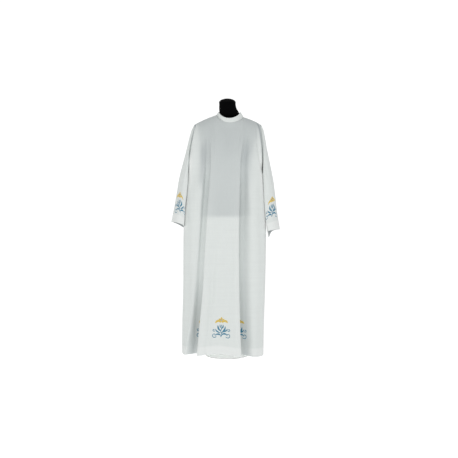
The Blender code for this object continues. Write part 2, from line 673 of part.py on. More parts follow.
def turned_object(name, profile, sides, centre, material, depth_share=1.0):
    """A turned piece from a profile of (radius, height), bottom to top, its depth a share of its width."""
    return stacked_rings(name, [oval(centre, radius, radius * depth_share, height, sides)
                                for radius, height in profile], material)


def build_form():
    """The padded torso and neck in one skin, its domed cap, the socket, pole and base plate."""
    rings = [oval((shift_x, shift_y), half_width, half_depth, height, FORM_SIDES)
             for height, half_width, half_depth, shift_x, shift_y in FORM_SECTIONS]
    stacked_rings("form_torso", rings, BLACK_JERSEY)

    neck = dict(zip(FORM_COLUMNS, FORM_SECTIONS[-1]))
    seat = neck["height"] + PART_GAP
    dome = CAP_TOP - seat - CAP_EDGE_HEIGHT
    rim = neck["half_width"] + CAP_RIM
    profile = [(rim - 0.001, seat), (rim, seat + 0.001), (rim, seat + CAP_EDGE_HEIGHT)]
    for turn in CAP_TURNS:
        rise = math.sin(math.radians(turn)) / math.sin(math.radians(CAP_TURNS[-1]))
        profile.append((rim * math.cos(math.radians(turn)), seat + CAP_EDGE_HEIGHT + dome * rise))
    depth_share = (neck["half_depth"] + CAP_RIM) / rim
    centre = (neck["shift_x"], neck["shift_y"])
    turned_object("form_neck_cap", profile, FORM_SIDES, centre, BLACK_CAP, depth_share)

    under = FORM_SECTIONS[0][0] - PART_GAP
    axis = (0.0, 0.0)
    socket = [(SOCKET_RADIUS * 0.75, under - SOCKET_HEIGHT), (SOCKET_RADIUS, under - SOCKET_HEIGHT + 0.004),
              (SOCKET_RADIUS, under)]
    turned_object("form_socket", socket, 24, axis, STAND_STEEL)
    hub_top = BASE_THICK + HUB_HEIGHT
    base = [(BASE_RADIUS - 0.001, 0.0), (BASE_RADIUS, 0.001), (BASE_RADIUS, BASE_THICK - 0.002),
            (BASE_RADIUS - 0.002, BASE_THICK), (HUB_RADIUS, BASE_THICK), (HUB_RADIUS, hub_top - 0.003),
            (HUB_RADIUS - 0.003, hub_top)]
    turned_object("form_base", base, 40, axis, BASE_PAINT)
    pole = [(POLE_RADIUS, hub_top + PART_GAP), (POLE_RADIUS, under - SOCKET_HEIGHT - PART_GAP)]
    turned_object("form_pole", pole, 20, axis, STAND_STEEL)


def build_button(collar):
    """A flat button at the centre back of the collar, standing just off the band."""
    low, high = collar[1, 0], collar[2, 0]
    middle = blend(low, high, 0.5)
    lean = math.atan2(low[1] - high[1], high[2] - low[2])
    facing = np.array((0.0, math.cos(lean), math.sin(lean)))
    up = np.array((0.0, -math.sin(lean), math.cos(lean)))
    across = np.array((1.0, 0.0, 0.0))
    place = np.array((COLLAR_TOP_BACK[0], middle[1], middle[2]))
    rings = []
    for radius, level in BUTTON_PROFILE:
        centre = place + facing * (BUTTON_STAND_OFF + BUTTON_THICK * level)
        turns = [math.tau * k / BUTTON_SIDES for k in range(BUTTON_SIDES)]
        rings.append([centre + BUTTON_RADIUS * radius * (math.cos(turn) * across + math.sin(turn) * up)
                      for turn in turns])
    stacked_rings("collar_button", rings, BUTTON_PLASTIC)


build_form()
build_button(build_robe())
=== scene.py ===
"""An alb on a limbless dress form: every surface's finish, the fine form of the cloth and its embroidery."""

import math

import bmesh
import bpy
import numpy as np
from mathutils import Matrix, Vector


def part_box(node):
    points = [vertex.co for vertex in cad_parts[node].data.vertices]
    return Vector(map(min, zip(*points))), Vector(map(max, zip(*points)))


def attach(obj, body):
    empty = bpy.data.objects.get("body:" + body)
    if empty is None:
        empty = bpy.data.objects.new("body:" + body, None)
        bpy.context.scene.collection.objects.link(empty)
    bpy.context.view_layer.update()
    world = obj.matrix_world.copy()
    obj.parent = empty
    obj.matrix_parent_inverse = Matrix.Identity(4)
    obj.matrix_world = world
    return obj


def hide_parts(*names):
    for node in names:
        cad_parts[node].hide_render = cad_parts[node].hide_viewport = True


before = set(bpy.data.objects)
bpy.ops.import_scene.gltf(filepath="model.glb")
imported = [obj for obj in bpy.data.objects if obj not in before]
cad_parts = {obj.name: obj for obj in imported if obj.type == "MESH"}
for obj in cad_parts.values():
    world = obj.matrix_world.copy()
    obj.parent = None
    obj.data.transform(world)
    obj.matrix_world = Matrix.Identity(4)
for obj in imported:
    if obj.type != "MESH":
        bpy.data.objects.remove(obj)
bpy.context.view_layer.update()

# ---- The stand ----
# A round steel base plate with a powder coat and a welded hub, and a brushed steel pole that is screwed
# into it. A short socket under the torso takes the top of the pole.

BASE_RADIUS = 0.135
# Edges: how far in each point lies from the radius, and its height.
BASE_EDGE = ((0.0012, 0.0), (0.0003, 0.0004), (0.0, 0.0012), (0.0, 0.0044), (0.0005, 0.0054), (0.0018, 0.006))
BASE_THICK = 0.006
HUB_RADIUS = 0.026
HUB_EDGE = ((0.0, 0.0330), (0.0009, 0.0351), (0.0030, 0.0360))
HUB_TOP = 0.036
WELD = 0.0035
WELD_STEPS = 4
POLE_RADIUS = 0.0125
SOCKET_RADIUS = 0.024
SOCKET_FOOT = 0.8287
SOCKET_EDGE = ((0.0060, 0.0), (0.00192, 0.0012), (0.0, 0.0040), (0.0, 0.0095), (0.0012, 0.0102),
               (0.0012, 0.0118), (0.0, 0.0125), (0.0, 0.0280))
SEAT_GAP = 0.0003          # the play between two parts that are pushed or screwed together


def put_in_scene(name, data):
    """Puts a mesh, a lamp or a camera into the scene, at the origin."""
    piece = bpy.data.objects.new(name, data)
    bpy.context.scene.collection.objects.link(piece)
    return piece


def finished_piece(name, mesh, materials=(), sharp=None):
    """A smooth piece from its mesh; edges that turn more than sharp, in degrees, stay sharp."""
    mesh.shade_smooth()
    if sharp is not None:
        mesh.set_sharp_from_angle(angle=math.radians(sharp))
    for material in materials:
        mesh.materials.append(material)
    return put_in_scene(name, mesh)


def ringed_piece(name, rings, material, sharp=35):
    """A closed piece through rings of points, from the lowest to the highest, with flat ends."""
    sides = len(rings[0])
    faces = [(low + k, low + (k + 1) % sides, low + sides + (k + 1) % sides, low + sides + k)
             for low in range(0, sides * (len(rings) - 1), sides) for k in range(sides)]
    faces.append(tuple(reversed(range(sides))))
    faces.append(tuple(range(sides * (len(rings) - 1), sides * len(rings))))
    mesh = bpy.data.meshes.new(name)
    mesh.from_pydata([point for ring in rings for point in ring], [], faces)
    return finished_piece(name, mesh, [material], sharp)


def level_ring(sides, height, half_width, half_depth, centre):
    """The points of a level ellipse."""
    return [(centre[0] + half_width * math.cos(math.tau * k / sides),
             centre[1] + half_depth * math.sin(math.tau * k / sides), height) for k in range(sides)]


def turned_piece(name, profile, material, sides, centre=(0.0, 0.0), flattened=1.0):
    """A piece turned round an upright axis, from its profile of radii and heights, or flattened in depth."""
    rings = [level_ring(sides, height, radius, radius * flattened, centre) for radius, height in profile]
    return ringed_piece(name, rings, material)


def set_inputs(tree, node, inputs):
    """Gives each of a node's named inputs a value, or the output that feeds it."""
    for name, value in inputs.items():
        if isinstance(value, bpy.types.NodeSocket):
            tree.links.new(value, node.inputs[name])
        else:
            node.inputs[name].default_value = value


def add_node(tree, kind, inputs=None, **settings):
    """A new node of a tree, with its settings and its inputs."""
    node = tree.nodes.new(kind)
    for setting, value in settings.items():
        setattr(node, setting, value)
    set_inputs(tree, node, inputs or {})
    return node


def new_material(name, colour, roughness, finish=None):
    """A material, its tree and its one Principled shader; finish holds the shader's other inputs."""
    material = bpy.data.materials.new(name)
    material.use_nodes = True
    shader = material.node_tree.nodes["Principled BSDF"]
    inputs = {"Base Color": (*colour, 1.0), "Roughness": roughness, **(finish or {})}
    set_inputs(material.node_tree, shader, inputs)
    return material, material.node_tree, shader


def noise_texture(tree, scale, detail, stretch=(1.0, 1.0, 1.0)):
    """The grey of a noise over the piece's own coordinates, stretched along its axes."""
    place = add_node(tree, "ShaderNodeTexCoord")
    turn = add_node(tree, "ShaderNodeMapping", {"Vector": place.outputs["Object"], "Scale": stretch})
    return add_node(tree, "ShaderNodeTexNoise",
                    {"Vector": turn.outputs["Vector"], "Scale": scale, "Detail": detail}).outputs["Fac"]


def ramp(tree, grey, low, high, start=0.3, end=0.7):
    """Turns a grey into a colour between two ends."""
    colours = add_node(tree, "ShaderNodeValToRGB", {"Fac": grey})
    for element, place, colour in zip(colours.color_ramp.elements, (start, end), (low, high)):
        element.position = place
        element.color = (*colour, 1.0)
    return colours.outputs["Color"]


def bump(tree, grey, distance, strength, under=None):
    """The normals of a surface that a grey raises, over those of a coarser bump if there is one."""
    inputs = {"Height": grey, "Distance": distance, "Strength": strength}
    if under is not None:
        inputs["Normal"] = under
    return add_node(tree, "ShaderNodeBump", inputs).outputs["Normal"]


powder_coat, tree, shader = new_material("powder_coat", (0.74, 0.74, 0.73), 0.48)
set_inputs(tree, shader, {
    "Normal": bump(tree, noise_texture(tree, 900.0, 2.0), 0.0003, 0.4),
    "Base Color": ramp(tree, noise_texture(tree, 14.0, 5.0), (0.68, 0.68, 0.67), (0.78, 0.78, 0.77))})

brushed_steel, tree, shader = new_material("brushed_steel", (0.60, 0.61, 0.62), 0.30, {"Metallic": 1.0})
grain = noise_texture(tree, 60.0, 6.0, (1.0, 1.0, 40.0))
set_inputs(tree, shader, {"Roughness": ramp(tree, grain, (0.24, 0.24, 0.24), (0.42, 0.42, 0.42)),
                          "Normal": bump(tree, grain, 0.0001, 0.3)})

base_profile = [(BASE_RADIUS - inset, height) for inset, height in BASE_EDGE]
for step in range(WELD_STEPS + 1):
    turn = math.radians(90) * step / WELD_STEPS
    base_profile.append((HUB_RADIUS + WELD * (1 - math.sin(turn)), BASE_THICK + WELD * (1 - math.cos(turn))))
base_profile += [(HUB_RADIUS - inset, height) for inset, height in HUB_EDGE]
base_plate = turned_piece("base_plate", base_profile, powder_coat, 96)
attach(base_plate, "root")
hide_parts("form_base")

pole_profile = [(POLE_RADIUS, HUB_TOP + SEAT_GAP), (POLE_RADIUS, SOCKET_FOOT - SEAT_GAP)]
pole = turned_piece("stand_pole", pole_profile, brushed_steel, 48)
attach(pole, "root")
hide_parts("form_pole")

socket_profile = [(SOCKET_RADIUS - inset, SOCKET_FOOT + height) for inset, height in SOCKET_EDGE]
socket = turned_piece("pole_socket", socket_profile, brushed_steel, 64)
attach(socket, "root")
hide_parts("form_socket")

# ---- The torso of the dress form ----
# A padded shell without arms or head, covered in one skin of black stretch jersey that is drawn tight
# over the shoulders and up the neck. Its foot is cut flat, and a satin black cap closes the neck.

FORM_COLUMNS = ("height", "half_width", "half_depth", "shift_x", "shift_y")
FORM_SECTIONS = (
    (0.857, 0.156, 0.096, -0.008, 0.000),
    (0.862, 0.160, 0.100, -0.008, 0.000),
    (0.905, 0.163, 0.103, -0.008, 0.000),
    (0.985, 0.159, 0.097, -0.008, 0.000),
    (1.075, 0.154, 0.091, -0.008, 0.000),
    (1.165, 0.157, 0.096, -0.006, 0.000),
    (1.255, 0.165, 0.100, -0.001, 0.000),
    (1.325, 0.175, 0.093, 0.004, 0.002),
    (1.375, 0.182, 0.078, 0.006, 0.004),
    (1.410, 0.187, 0.060, 0.006, 0.004),
    (1.4270, 0.1885, 0.050, 0.006, 0.003),
    (1.4350, 0.1885, 0.046, 0.0050, 0.002),
    (1.4440, 0.1857, 0.040, 0.0043, 0.001),
    (1.4500, 0.1745, 0.038, 0.0045, 0.000),
    (1.4590, 0.1553, 0.030, 0.0040, 0.000),
    (1.4740, 0.1100, 0.025, 0.0020, 0.000),
    (1.4830, 0.0780, 0.031, 0.0060, 0.000),
    (1.4900, 0.0680, 0.042, 0.0120, 0.000),
    (1.5030, 0.0625, 0.046, 0.0140, 0.000),
    (1.5170, 0.0600, 0.0475, 0.0120, 0.000),
    (1.5360, 0.0550, 0.047, 0.0055, 0.000),
    (1.5540, 0.0525, 0.047, 0.0035, 0.000),
    (1.5700, 0.0515, 0.047, 0.0025, 0.000),
)
TORSO_SIDES = 112
TORSO_STEPS = 4            # rings in each span of the table above
CAP_SEAT = 1.5703
CAP_TOP = 1.598
CAP_FOOT = ((0.0010, 0.0), (0.0003, 0.0003), (0.0, 0.0010), (0.0, 0.0035))
CAP_EDGE = 0.0035          # the upright part of the cap's side, under its dome
CAP_RIM = 0.0012


def spline(points, steps):
    """A smooth line through the points; steps holds how many pieces each span is divided into."""
    points = [np.asarray(p, dtype=float) for p in points]
    padded = [2 * points[0] - points[1]] + points + [2 * points[-1] - points[-2]]
    line = []
    for i, count in enumerate(steps):
        p0, p1, p2, p3 = padded[i:i + 4]
        t0 = 0.0
        t1 = t0 + max(np.linalg.norm(p1 - p0), 1e-6) ** 0.5
        t2 = t1 + max(np.linalg.norm(p2 - p1), 1e-6) ** 0.5
        t3 = t2 + max(np.linalg.norm(p3 - p2), 1e-6) ** 0.5
        t = (t1 + (t2 - t1) * np.arange(count) / count)[:, None]
        a1 = (t1 - t) / (t1 - t0) * p0 + (t - t0) / (t1 - t0) * p1
        a2 = (t2 - t) / (t2 - t1) * p1 + (t - t1) / (t2 - t1) * p2
        a3 = (t3 - t) / (t3 - t2) * p2 + (t - t2) / (t3 - t2) * p3
        b1 = (t2 - t) / (t2 - t0) * a1 + (t - t0) / (t2 - t0) * a2
        b2 = (t3 - t) / (t3 - t1) * a2 + (t - t1) / (t3 - t1) * a3
        line.extend((t2 - t) / (t2 - t1) * b1 + (t - t1) / (t2 - t1) * b2)
    line.append(points[-1])
    return np.array(line)


jersey, tree, shader = new_material("black_jersey", (0.0018, 0.0018, 0.0020), 0.9, {
    "Sheen Weight": 0.01, "Sheen Roughness": 0.45, "Specular IOR Level": 0.03})
place = add_node(tree, "ShaderNodeTexCoord")
rib = add_node(tree, "ShaderNodeTexWave", {"Vector": place.outputs["Object"], "Scale": 260.0,
                                           "Distortion": 0.6, "Detail Scale": 60.0})
loops = noise_texture(tree, 1400.0, 1.0, (1.0, 1.0, 0.6))
knit = add_node(tree, "ShaderNodeMath", {0: rib.outputs["Fac"], 1: loops}, operation="ADD")
set_inputs(tree, shader, {"Normal": bump(tree, knit.outputs[0], 0.0002, 0.5)})

form_rows = spline(FORM_SECTIONS, [TORSO_STEPS] * (len(FORM_SECTIONS) - 1))
torso = ringed_piece("form_cover", [
    level_ring(TORSO_SIDES, height, half_width, half_depth, (shift_x, shift_y))
    for height, half_width, half_depth, shift_x, shift_y in form_rows], jersey, sharp=60)
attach(torso, "root")
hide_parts("form_torso")

cap_black, tree, shader = new_material("satin_black_cap", (0.0018, 0.0018, 0.0020), 0.45,
                                       {"Specular IOR Level": 0.05})
scuffs = noise_texture(tree, 45.0, 6.0)
set_inputs(tree, shader, {"Roughness": ramp(tree, scuffs, (0.36, 0.36, 0.36), (0.52, 0.52, 0.52)),
                          "Normal": bump(tree, scuffs, 0.0003, 0.15)})

neck = dict(zip(FORM_COLUMNS, FORM_SECTIONS[-1]))
cap_radius = neck["half_width"] + CAP_RIM
cap_profile = [(cap_radius - inset, CAP_SEAT + height) for inset, height in CAP_FOOT]
dome_foot = CAP_SEAT + CAP_EDGE
dome_turns = np.radians(np.arange(8, 89, 8))
cap_profile += [(cap_radius * math.cos(turn),
                 dome_foot + (CAP_TOP - dome_foot) * math.sin(turn) / math.sin(dome_turns[-1]))
                for turn in dome_turns]
cap = turned_piece("neck_cap", cap_profile, cap_black, TORSO_SIDES, (neck["shift_x"], neck["shift_y"]),
                   flattened=(neck["half_depth"] + CAP_RIM) / cap_radius)
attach(cap, "root")
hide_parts("form_neck_cap")

# ---- The front of the robe ----
# One width of thin white woven polyester from the shoulder seams to the floor. Two deep folds start under
# the chest and lap over the cloth beside them, and leave a wide flat panel between them.

CLOTH = 0.0009
TURNED_CLOTH = 0.0018
HEM_BAND = 0.045
HEM_ROWS = 6               # the rows of a grid in its turned hem or cuff
HEM_HEIGHT = 0.030
UNDERARM_HEIGHT = 1.155
SKIRT_ROWS = 118
ARMHOLE_ROWS = 40
FINER = 4                  # pieces in each span of a section, against the plain solid's

SHOULDER_TIP = {"left": (-0.204, 0.0, 1.4355), "right": (0.2135, 0.0, 1.435)}
NECK_POINT = {"left": (-0.0656, 0.0, 1.4975), "right": (0.1035, 0.0, 1.4835)}
SHOULDER_ROUND = 0.004
NECK_FRONT = (0.017, -0.080, 1.4360)
NECK_BACK = (0.019, 0.070, 1.482)
NECK_POINTED = 1.4         # how pointed the neckline dips to the two points above

# The panel's outline level by level: where its sides, the crests beside them and the ridges of its folds lie
# across it, how far forward the panel and the crests are, and how much the panel's middle is hollow.
SECTION_COLUMNS = ("height", "side_left", "crest_left", "ridge_left", "ridge_right", "crest_right",
                   "side_right", "depth", "crest_depth", "hollow")
FRONT_SECTIONS = (
    (0.030, -0.281, -0.252, -0.179, 0.085, 0.158, 0.225, 0.192, 0.156, 0.026),
    (0.190, -0.277, -0.224, -0.165, 0.079, 0.157, 0.228, 0.186, 0.150, 0.020),
    (0.420, -0.270, -0.196, -0.144, 0.073, 0.152, 0.235, 0.176, 0.147, 0.012),
    (0.660, -0.268, -0.174, -0.131, 0.072, 0.150, 0.240, 0.163, 0.143, 0.007),
    (0.800, -0.266, -0.165, -0.123, 0.073, 0.148, 0.241, 0.154, 0.140, 0.004),
    (0.970, -0.253, -0.156, -0.111, 0.077, 0.142, 0.234, 0.143, 0.134, 0.001),
    (1.155, -0.236, -0.140, -0.096, 0.079, 0.132, 0.219, 0.132, 0.124, -0.003),
)
# Each fold: how far it laps over, how deep one layer of it is, the heights where it starts and is full, and
# the share of its size that it has at the chest. The rest comes between the two heights of SKIRT_GROWTH.
FOLD_COLUMNS = ("panel", "side", "lap", "layer", "starts", "full", "chest")
FOLDS = (
    ("front", "left", 0.072, 0.0255, 1.38, 1.00, 0.47),
    ("front", "right", 0.066, 0.0235, 1.38, 0.92, 0.67),
    ("back", "left", 0.060, 0.0190, 1.33, 0.86, 0.60),
    ("back", "right", 0.056, 0.0185, 1.31, 0.88, 0.62),
)
SKIRT_GROWTH = (0.62, 0.05)
# A fold's points from the panel outwards: how far each lies from the ridge while the cloth is flat, in
# metres, how far when the fold is whole, in laps, and how deep it then lies, in layers.
FOLD_PROFILE = (
    ("panel_edge", -0.014, -0.34, 0.00),
    ("ridge", 0.000, 0.00, 0.45),
    ("under_ridge", 0.006, -0.30, 1.00),
    ("tuck_in", 0.011, -0.78, 1.45),
    ("tuck_turn", 0.016, -1.00, 2.00),
    ("tuck_out", 0.021, -0.72, 2.55),
    ("recess", 0.029, 0.30, 2.70),
)
# Where each point's column meets the shoulder seam, and how finely the span beside it is divided.
TOP_EDGE = {"side": 0.0, "corner": 0.14, "crest": 0.40, "recess": 0.56, "tuck_out": 0.62, "tuck_turn": 0.67,
            "tuck_in": 0.72, "under_ridge": 0.77, "ridge": 0.84, "panel_edge": 1.0}
SPAN_STEPS = {"side": 2, "corner": 3, "crest": 2, "recess": 2, "tuck_out": 2, "tuck_turn": 2, "tuck_in": 2,
              "under_ridge": 2, "ridge": 2, "panel": 4}
CORNER_INSET = 0.010
CORNER_DEPTH = 0.68        # the share of the crest's depth
# How much higher the hem hangs at places across each panel, and up to what height above it that reaches.
HEM_RISE = {"front": {"side_left": 0.002, "ridge_left": 0.003, "middle": 0.012, "ridge_right": -0.004,
                      "side_right": -0.016},
            "back": {"side_left": 0.002, "ridge_left": 0.004, "middle": 0.008, "ridge_right": 0.000,
                     "side_right": -0.016}}
HEM_RISE_REACH = 0.50

# How the cloth leaves the level of the underarm and arrives at the top edge.
LEAVE_CHEST = np.array((0.0, 0.0, 0.30))
LEAVE_UNDERARM = np.array((0.0, 0.24, 0.16))
OVER_SHOULDER = np.array((0.0, 0.27, 0.03))
OVER_NECK = np.array((0.0, 0.06, 0.15))
OVER_TIP = np.array((0.0, 0.15, 0.12))

# Soft creases, each from a top point to a foot point as seen from the front: lift is above the cloth if it
# is more than 0, and a trough if less; wander is how far the line strays to the side on its way down.
CREASE_COLUMNS = ("top_across", "top", "foot_across", "foot", "wander", "top_width", "foot_width", "lift")
FRONT_CREASES = (
    (-0.170, 1.400, -0.205, 0.95, 0.008, 0.016, 0.026, -0.0035),
    (-0.185, 1.200, -0.212, 0.20, -0.010, 0.020, 0.030, 0.0040),
    (-0.232, 1.050, -0.245, -0.10, 0.006, 0.012, 0.018, -0.0030),
    (-0.060, 1.130, -0.105, 0.10, 0.012, 0.014, 0.026, -0.0028),
    (-0.020, 1.020, -0.050, -0.20, -0.010, 0.022, 0.034, 0.0030),
    (0.030, 0.960, 0.018, -0.20, 0.009, 0.014, 0.022, -0.0030),
    (0.052, 1.050, 0.055, -0.10, -0.004, 0.010, 0.014, 0.0018),
    (0.168, 1.230, 0.186, 0.30, 0.010, 0.018, 0.030, 0.0035),
    (0.200, 1.060, 0.205, -0.10, -0.006, 0.012, 0.018, -0.0028),
    (0.178, 1.435, 0.214, 1.10, 0.003, 0.007, 0.008, -0.0075),
    (0.100, 1.395, 0.160, 1.18, 0.006, 0.018, 0.024, 0.0022),
    (-0.090, 1.400, -0.150, 1.20, -0.006, 0.018, 0.026, 0.0022),
    (-0.035, 1.395, -0.015, 1.22, 0.006, 0.014, 0.020, 0.0012),
    (0.070, 1.385, 0.045, 1.24, -0.004, 0.012, 0.020, -0.0012),
    (-0.075, 0.620, -0.133, -0.20, 0.003, 0.013, 0.019, -0.0075),
    (-0.200, 0.560, -0.216, -0.20, 0.004, 0.012, 0.016, 0.0030),
    (0.080, 0.700, 0.098, -0.20, -0.004, 0.016, 0.022, 0.0026),
)
CREASE_WAVES = (7.0, 9.0)                            # how fast a crease strays, and its phase for its place
CREASE_ENDS = (0.22, 0.25)                           # the shares of its length where it grows and fades
CREASE_CLEAR = {"top": 0.035, "side": 6.0}           # free of creases: in metres, and in columns

# The valleys where the sleeves hang from the armholes. Down is a share of the armhole's height.
ARMHOLE_VALLEY = {"left": 0.0120, "right": 0.0125}
VALLEY_WIDTH = 0.0085
VALLEY_FULL = 0.08                                   # how far down a valley has its whole depth
VALLEY_FADES = (0.25, 0.85)                          # from where to where it fades
VALLEY_FOOT = 0.15                                   # the share of its depth that is left there
VALLEY_INWARD = 0.45                                 # how much it sinks to the middle of the robe
VALLEY_TURN = 0.015                                  # how far round the shoulder tip that way turns over

# The cloth is drawn smooth over the chest.
SMOOTH_REACH = 0.022                                 # how far along a row it is evened out
SMOOTH_EDGE = 0.045                                  # how far from the edges it is smooth all through
SMOOTH_HEIGHTS = (1.30, 1.40)

# What shows through thin cloth: the black form. Painted into the cloth's colour as well: shade in the hollows
# of the folds and where they start, the shade of the armholes' valleys as grey lines, and light beside the
# sleeves. Pairs of heights are where each starts and is full.
FORM_SHOWS = 0.11                                    # the depth of air at which the form stops showing
FORM_SIDE = (0.005, 0.006, 0.32)                     # how far past it its shade reaches, how soft that is,
FORM_FOOT = (0.0, 0.004, 0.20)                       # and how much softer for each metre of air
FORM_IN_RECESS = 0.65                                # it shows less in the recesses, which lie in shade
RECESS_HEIGHTS = (1.22, 1.10)
# Painted shade in the hollows beside the folds' ridges, and where the folds start:
FOLD_SHADE_REACH = 0.028                                 # how far from a fold's ridge the painted shade of its hollow reaches
FOLD_SHADE_SHARE = {"height": (0.02, 0.16), "share": (0.75, 0.52)}                # how much of that painted shade shows, more at the hem
FOLD_SHADE_GROWS = (2 / 7, 1.0)                          # a fold's share of its size when that painted shade shows
YOUNG_SHADE = {"left": (0.052, 0.017, 0.56), "right": (0.036, 0.030, 0.34)}   # place, width and strength
YOUNG_TOP = (1.36, 1.24)                             # the painted shade where a fold starts
YOUNG_FOOT = (1.00, 1.10)
LAP_WHITENS = 0.18                                   # how much a fold's second layer whitens the cloth
LAP_SOFT = 0.014                                     # how soft that layer's edge is
LAP_GROWN = 2 / 3                                    # a fold's share of its size when its layer shows
# Painted shade of the armholes' valleys: a grey line along each seam, and one for the fold beside it.
SEAM_SHADE = 1.20
SEAM_SHADE_WIDTH = 0.0120
SEAM_SHADE_FOOT = {"left": 1.265, "right": 1.20}
SEAM_SHADE_FADES = 0.08                              # above its foot
SEAM_FOLD_PLACE = {"left": 0.019, "right": 0.042}          # from the seam to the painted line of the fold beside it
SEAM_FOLD_STRENGTH = 1.30                                # that line's painted shade against the seam's
SEAM_FOLD_OPENS = 0.16                               # above the foot, where the two lines part
CREVICE_REACH = 0.017                                # how far from a side the body is painted lighter beside the sleeve
CREVICE_TOP = (1.26, 1.18)
CREVICE_FOOT = (0.74, 0.82)
SEAM_SINK = 0.0004                                   # how far the cloth turns in at a seam
SEAM_NEXT = 0.3                                      # the share of that for the row beside it
WEAVE = 0.0006
# the white that painted light beside the sleeves lifts the cloth toward
PAINTED_LIGHT_CLOTH = (0.94, 0.95, 0.94)


def blend(a, b, share):
    return a * (1.0 - share) + b * share


def ease(share):
    share = np.clip(share, 0.0, 1.0)
    return share * share * (3.0 - 2.0 * share)


def grows(value, start, full):
    """Goes smoothly from 0 where the value is at its start to 1 where it is full."""
    return ease((value - start) / (full - start))


def fading(away, width):
    """Goes smoothly from 1 at a line to nothing about two widths away from it."""
    return np.exp(-(away / width) ** 2)


def smooth_way(start, leave, end, arrive, s):
    """A point on the way between two, from how the way leaves the one and arrives at the other."""
    return ((2 * s ** 3 - 3 * s ** 2 + 1) * start + (s ** 3 - 2 * s ** 2 + s) * leave
            + (3 * s ** 2 - 2 * s ** 3) * end + (s ** 3 - s ** 2) * arrive)


def read_section(sections, height):
    """The row of a table at one height, smoothly between its rows."""
    rows = np.array(sections)
    heights = rows[:, 0]
    slopes = np.gradient(rows, heights, axis=0)
    i = int(np.clip(np.searchsorted(heights, height) - 1, 0, len(heights) - 2))
    step = heights[i + 1] - heights[i]
    s = min(max((height - heights[i]) / step, 0.0), 1.0)
    row = smooth_way(rows[i], step * slopes[i], rows[i + 1], step * slopes[i + 1], s)
    return dict(zip(SECTION_COLUMNS, row), height=height)


def fold_growth(fold, height):
    """The share of its whole size that a fold has at a height."""
    return (fold["chest"] * grows(height, fold["starts"], fold["full"])
            + (1.0 - fold["chest"]) * grows(height, *SKIRT_GROWTH))


def fold_points(section, fold, height, facing):
    """The points of one fold at one height, from its panel outwards; facing is +1 or -1 along X."""
    grown = float(fold_growth(fold, height))
    ridge = section["ridge_" + fold["side"]]
    points = []
    for name, flat, lap, layer in FOLD_PROFILE:
        x = ridge + facing * blend(flat, lap * fold["lap"], grown ** 2)
        away = abs(x - ridge) / max(abs(section["crest_" + fold["side"]] - ridge), 0.01)
        surface = blend(section["depth"], section["crest_depth"], min(away, 1.0) ** 2 * (1.0 - grown))
        points.append((name, x, surface - layer * fold["layer"] * grown))
    return points


def panel_points(panel, sections, height):
    """Points of a panel's section from left to right: name, x, depth, place on the top edge, side."""
    section = read_section(sections, height)
    folds = {row[1]: dict(zip(FOLD_COLUMNS, row)) for row in FOLDS if row[0] == panel}
    halves = {}
    for side, facing in (("left", -1), ("right", 1)):
        edge = section["side_" + side]
        halves[side] = [("side", edge, 0.0),
                        ("corner", edge - facing * CORNER_INSET, CORNER_DEPTH * section["crest_depth"]),
                        ("crest", section["crest_" + side], section["crest_depth"])]
        halves[side] += reversed(fold_points(section, folds[side], height, facing))
    left_edge, right_edge = halves["left"][-1], halves["right"][-1]
    points = [(name, x, d, TOP_EDGE[name], "left") for name, x, d in halves["left"]]
    for share in (0.25, 0.5, 0.75):
        depth = section["depth"] - section["hollow"] * math.sin(math.pi * share)
        points.append(("panel", blend(left_edge[1], right_edge[1], share), depth, 1.0 + share, "middle"))
    points += [(name, x, d, 3.0 - TOP_EDGE[name], "right") for name, x, d in reversed(halves["right"])]
    return points


def top_edge(panel, place):
    """A point of the top edge: 0 to 1 left shoulder seam, 1 to 2 neckline, 2 to 3 right shoulder seam."""
    lift = np.array((0.0, 0.0, SHOULDER_ROUND * abs(math.sin(math.pi * place))))
    left, right = np.array(NECK_POINT["left"]), np.array(NECK_POINT["right"])
    if place <= 1.0:
        return blend(np.array(SHOULDER_TIP["left"]), left, place) + lift
    if place >= 2.0:
        return blend(right, np.array(SHOULDER_TIP["right"]), place - 2.0) + lift
    turn = math.pi * (place - 1.0)
    middle = NECK_FRONT if panel == "front" else NECK_BACK
    side = left if place < 1.5 else right
    ends = blend(left, right, 0.5 - 0.5 * math.cos(turn))
    return np.array((middle[0] + (side[0] - middle[0]) * abs(math.cos(turn)), middle[1] * math.sin(turn),
                     ends[2] + (middle[2] - ends[2]) * math.sin(turn) ** NECK_POINTED))


def hem_rise(panel, x, section):
    """How much higher the hem hangs at a place across the panel."""
    rise = HEM_RISE[panel]
    section = dict(section, middle=0.5 * (section["ridge_left"] + section["ridge_right"]))
    return float(np.interp(x, [section[mark] for mark in rise], list(rise.values())))


